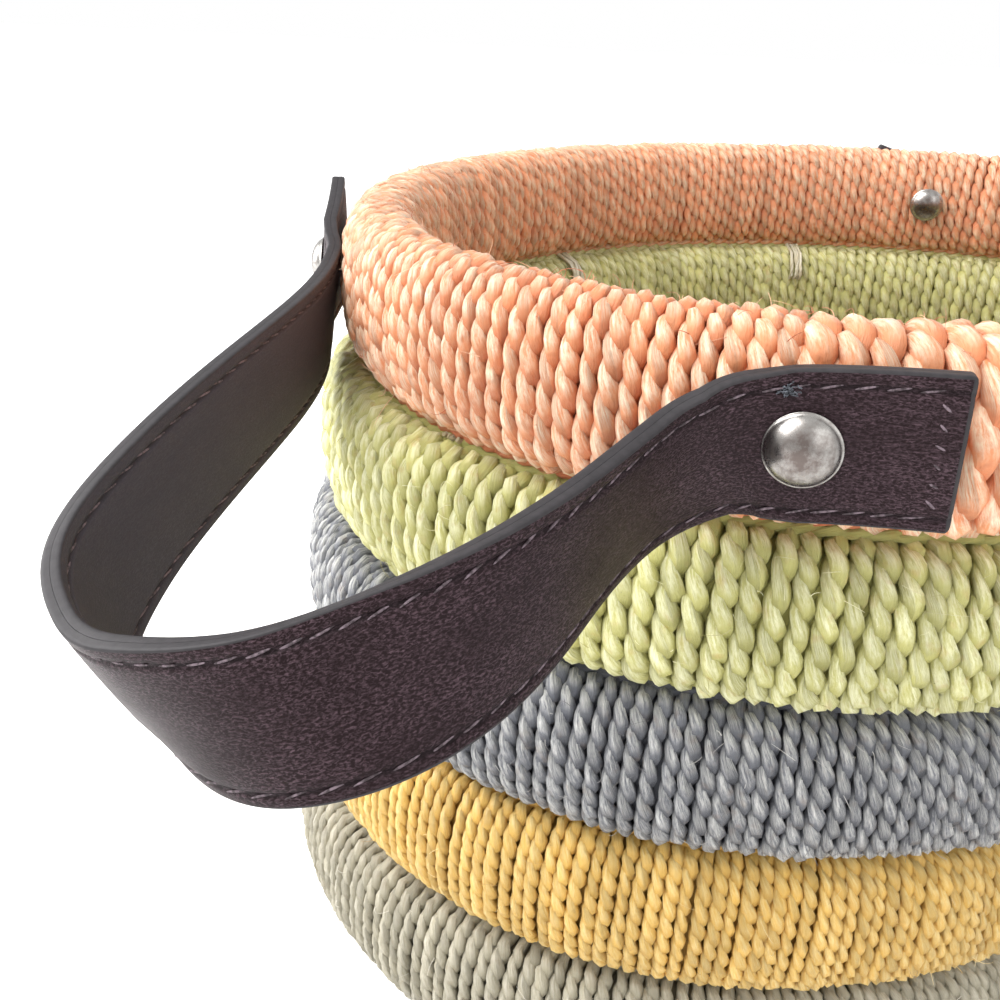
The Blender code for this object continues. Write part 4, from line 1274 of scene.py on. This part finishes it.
def fibre_tree():
    tree = new_tree("stray_fibres", (("Radius", "NodeSocketFloat", FIBRE_RADIUS),
                                     ("Material", "NodeSocketMaterial", None)))
    given = add_node(tree, "NodeGroupInput").outputs
    curve = add_node(tree, "GeometryNodeMeshToCurve", {0: given["Geometry"]})
    circle = add_node(tree, "GeometryNodeCurvePrimitiveCircle",
                      {"Resolution": 3, "Radius": given["Radius"]})
    swept = add_node(tree, "GeometryNodeCurveToMesh",
                     {"Curve": curve.outputs[0], "Profile Curve": circle.outputs[0],
                      "Scale": read(tree, "gauge"), "Fill Caps": True})
    return close_tree(tree, swept.outputs[0], given["Material"])


def loose_fibre(name, *colours):
    """A single sisal fibre: pale, glossy, some of them browned."""
    return mottled(name, colours, 90.0, 1.0, 0.35, (0.4, 0.62))


FIBRE_TREE = fibre_tree()
FIBRE_COLOURS = {"coral": ("FFD2AE", "B4562E"), "green": ("F2F0C8", "A39A5A"),
                 "charcoal": ("D8D5CF", "6C6A6C"), "ochre": ("FBE6B0", "B98A3C"),
                 "taupe": ("EAE6DA", "978C76")}
FIBRE_POINTS = 5


def fibres(level, name, count):
    rng = np.random.default_rng(90 + level)
    angle = rng.uniform(0, math.tau, count)
    low = -50 if level else -60
    high = 50 if level else 140
    turn = np.radians(rng.uniform(low, high, count))
    inner = rng.uniform(0, 1, count) < 0.25
    turn = np.where(inner, math.pi - turn, turn)
    if level == 0:
        under = [np.abs((np.degrees(angle) - way + 180) % 360 - 180) < 13
                 for way in (*RIVET_DIRECTIONS, *(d + 180 for d in RIVET_DIRECTIONS))]
        clear = inner | ~np.any(under, axis=0) | (turn > 1.2)
        angle, turn, count = angle[clear], turn[clear], int(clear.sum())
    centre, out = footprint(level, angle)
    power = 2 / SECTION_POWER
    depth = (COIL_DEPTH / 2) * np.sign(np.cos(turn)) * np.abs(np.cos(turn)) ** power
    height = (COIL_RISE / 2) * np.sign(np.sin(turn)) * np.abs(np.sin(turn)) ** power
    normal = unit(out * np.cos(turn)[:, None] + UP * np.sin(turn)[:, None])
    start = centre + out * depth[:, None] + UP * height[:, None] - normal * 0.0007
    swing = rng.normal(size=(count, 3))
    ahead = unit(unit(swing) + normal * rng.uniform(0.3, 1.2, count)[:, None])
    bend = unit(rng.normal(size=(count, 3)))
    bend = unit(bend - normal * 1.1)
    length = rng.uniform(0.0012, 0.0042, count)
    length = length * np.where((rng.uniform(0, 1, count) < 0.1) & (turn < 1.0), 2.0, 1)
    curl = rng.uniform(0.3, 1.7, count)
    share = np.linspace(0, 1, FIBRE_POINTS)
    points = (start[:, None] + ahead[:, None] * (length[:, None] * share)[..., None]
              + bend[:, None] * (curl[:, None] * length[:, None] * share ** 2 * 0.6)[..., None])
    thick = np.repeat(rng.uniform(0.6, 1.25, count), FIBRE_POINTS).reshape(count, FIBRE_POINTS)
    thick = thick * (1 - 0.5 * share)
    first = np.arange(count)[:, None] * FIBRE_POINTS + np.arange(FIBRE_POINTS - 1)
    edges = np.stack((first.ravel(), first.ravel() + 1), axis=1)
    guide = guide_mesh("fibre_lines", points.reshape(-1, 3), edges, {"gauge": thick.ravel()})
    return apply_tree(guide, FIBRE_TREE, name + "_stray_fibres",
                      {"Material": loose_fibre("loose_sisal_" + name, *FIBRE_COLOURS[name])})


for level, name in enumerate(LEVELS):
    piece = fibres(level, name, FIBRE_COUNTS[name])
    hand_in(piece, name)
print("stray fibres:", sum(FIBRE_COUNTS.values()))

# %% [markdown]
# ## A frayed thread end
# Beside the near rivet one end of the seam's thread was cut and has opened into a grey tuft.

# %% Frayed thread end


def frayed_end(handle, where):
    """A tuft of short curls on the upper seam, each a small random walk."""
    rng = np.random.default_rng(5)
    centre, ahead, wide, lift = strap_place(handle, where)
    start = centre + wide * (SEAMS[1] - 0.0002) + lift * (STRAP_THICKNESS / 2 - 0.0002)
    walk = rng.normal(size=(18, 8, 3)).cumsum(axis=1) * 0.00022
    walk[:, 0] = 0
    points = (start + ahead * walk[..., :1] * 1.3 + wide * walk[..., 1:2] * 0.8
              + lift * np.abs(walk[..., 2:]) * 0.6)
    first = np.arange(18)[:, None] * 8 + np.arange(7)
    edges = np.stack((first.ravel(), first.ravel() + 1), axis=1)
    guide = guide_mesh("curls", points.reshape(-1, 3), edges, {"gauge": np.full(144, 1.5)})
    tuft = waxed_thread("frayed_grey_thread", "3E4147", "686C74")
    return apply_tree(guide, FIBRE_TREE, "frayed_thread_end", {"Material": tuft})


piece = frayed_end(0, TAB_TAIL + 0.0018)
hand_in(piece, "leather")
print("one frayed thread end")

# %% [markdown]
# ## Floor and light
# A pale studio: white paper that runs out of sight, a large soft light from the upper left, a
# smaller one low at the left like a window, and a weak one from the right. To the camera and
# in reflections the world is plain white; as a light it is a little dimmer, so that the colours
# render about as they are written. The paper gets an extra glow for the camera alone, so that
# it is white but keeps a soft shadow.

# %% Studio
PAPER_GLOW = 0.35
PAPER_SIZE, PAPER_LEVEL = 12.0, -0.0006
WORLD_LIGHT = 0.97            # of the white that the camera sees
LAMPS = (("key", (-0.60, -0.42, 0.85), 0.80, 13.0),      # place, size in metres, watts
         ("window", (-0.95, 0.00, 0.30), 0.50, 4.5),
         ("fill", (0.7, -0.6, 0.5), 0.80, 2.0))
LAMP_AIM = (0, 0, 0.08)


def studio_paper():
    material, tree, shader = new_material("white_studio_paper")
    rays = add_node(tree, "ShaderNodeLightPath")
    glow = calc(tree, "MULTIPLY", rays.outputs["Is Camera Ray"], PAPER_GLOW)
    feed(tree, shader, {"Base Color": linear("F7F7F7"), "Roughness": 0.9,
                        "Emission Strength": glow, "Emission Color": (1, 1, 1, 1)})
    return material


def studio():
    bpy.ops.mesh.primitive_plane_add(size=PAPER_SIZE)
    floor = bpy.context.object
    floor.name = "studio_floor"
    floor.location.z = PAPER_LEVEL
    floor.data.materials.append(studio_paper())
    world = bpy.data.worlds.new("studio")
    world.use_nodes = True
    tree = world.node_tree
    tree.nodes.clear()
    rays = add_node(tree, "ShaderNodeLightPath").outputs
    seen = calc(tree, "MAXIMUM", rays["Is Camera Ray"], rays["Is Glossy Ray"])
    seen = calc(tree, "MAXIMUM", seen, rays["Is Transmission Ray"])
    background = add_node(tree, "ShaderNodeBackground", {
        "Color": (1, 1, 1, 1), "Strength": remap(tree, seen, wanted=(WORLD_LIGHT, 1.0))})
    add_node(tree, "ShaderNodeOutputWorld", {"Surface": background.outputs[0]})
    bpy.context.scene.world = world
    for title, place, size, power in LAMPS:
        data = bpy.data.lights.new(title + "_softbox", "AREA")
        data.energy = power
        data.size = size
        lamp = link(bpy.data.objects.new(title + "_softbox", data))
        lamp.location = place
        lamp.rotation_mode = "QUATERNION"
        lamp.rotation_quaternion = (Vector(LAMP_AIM) - Vector(place)).to_track_quat("-Z", "Y")


studio()
bpy.context.scene.view_settings.view_transform = "Standard"
print("studio: paper floor, white world, three soft lights")
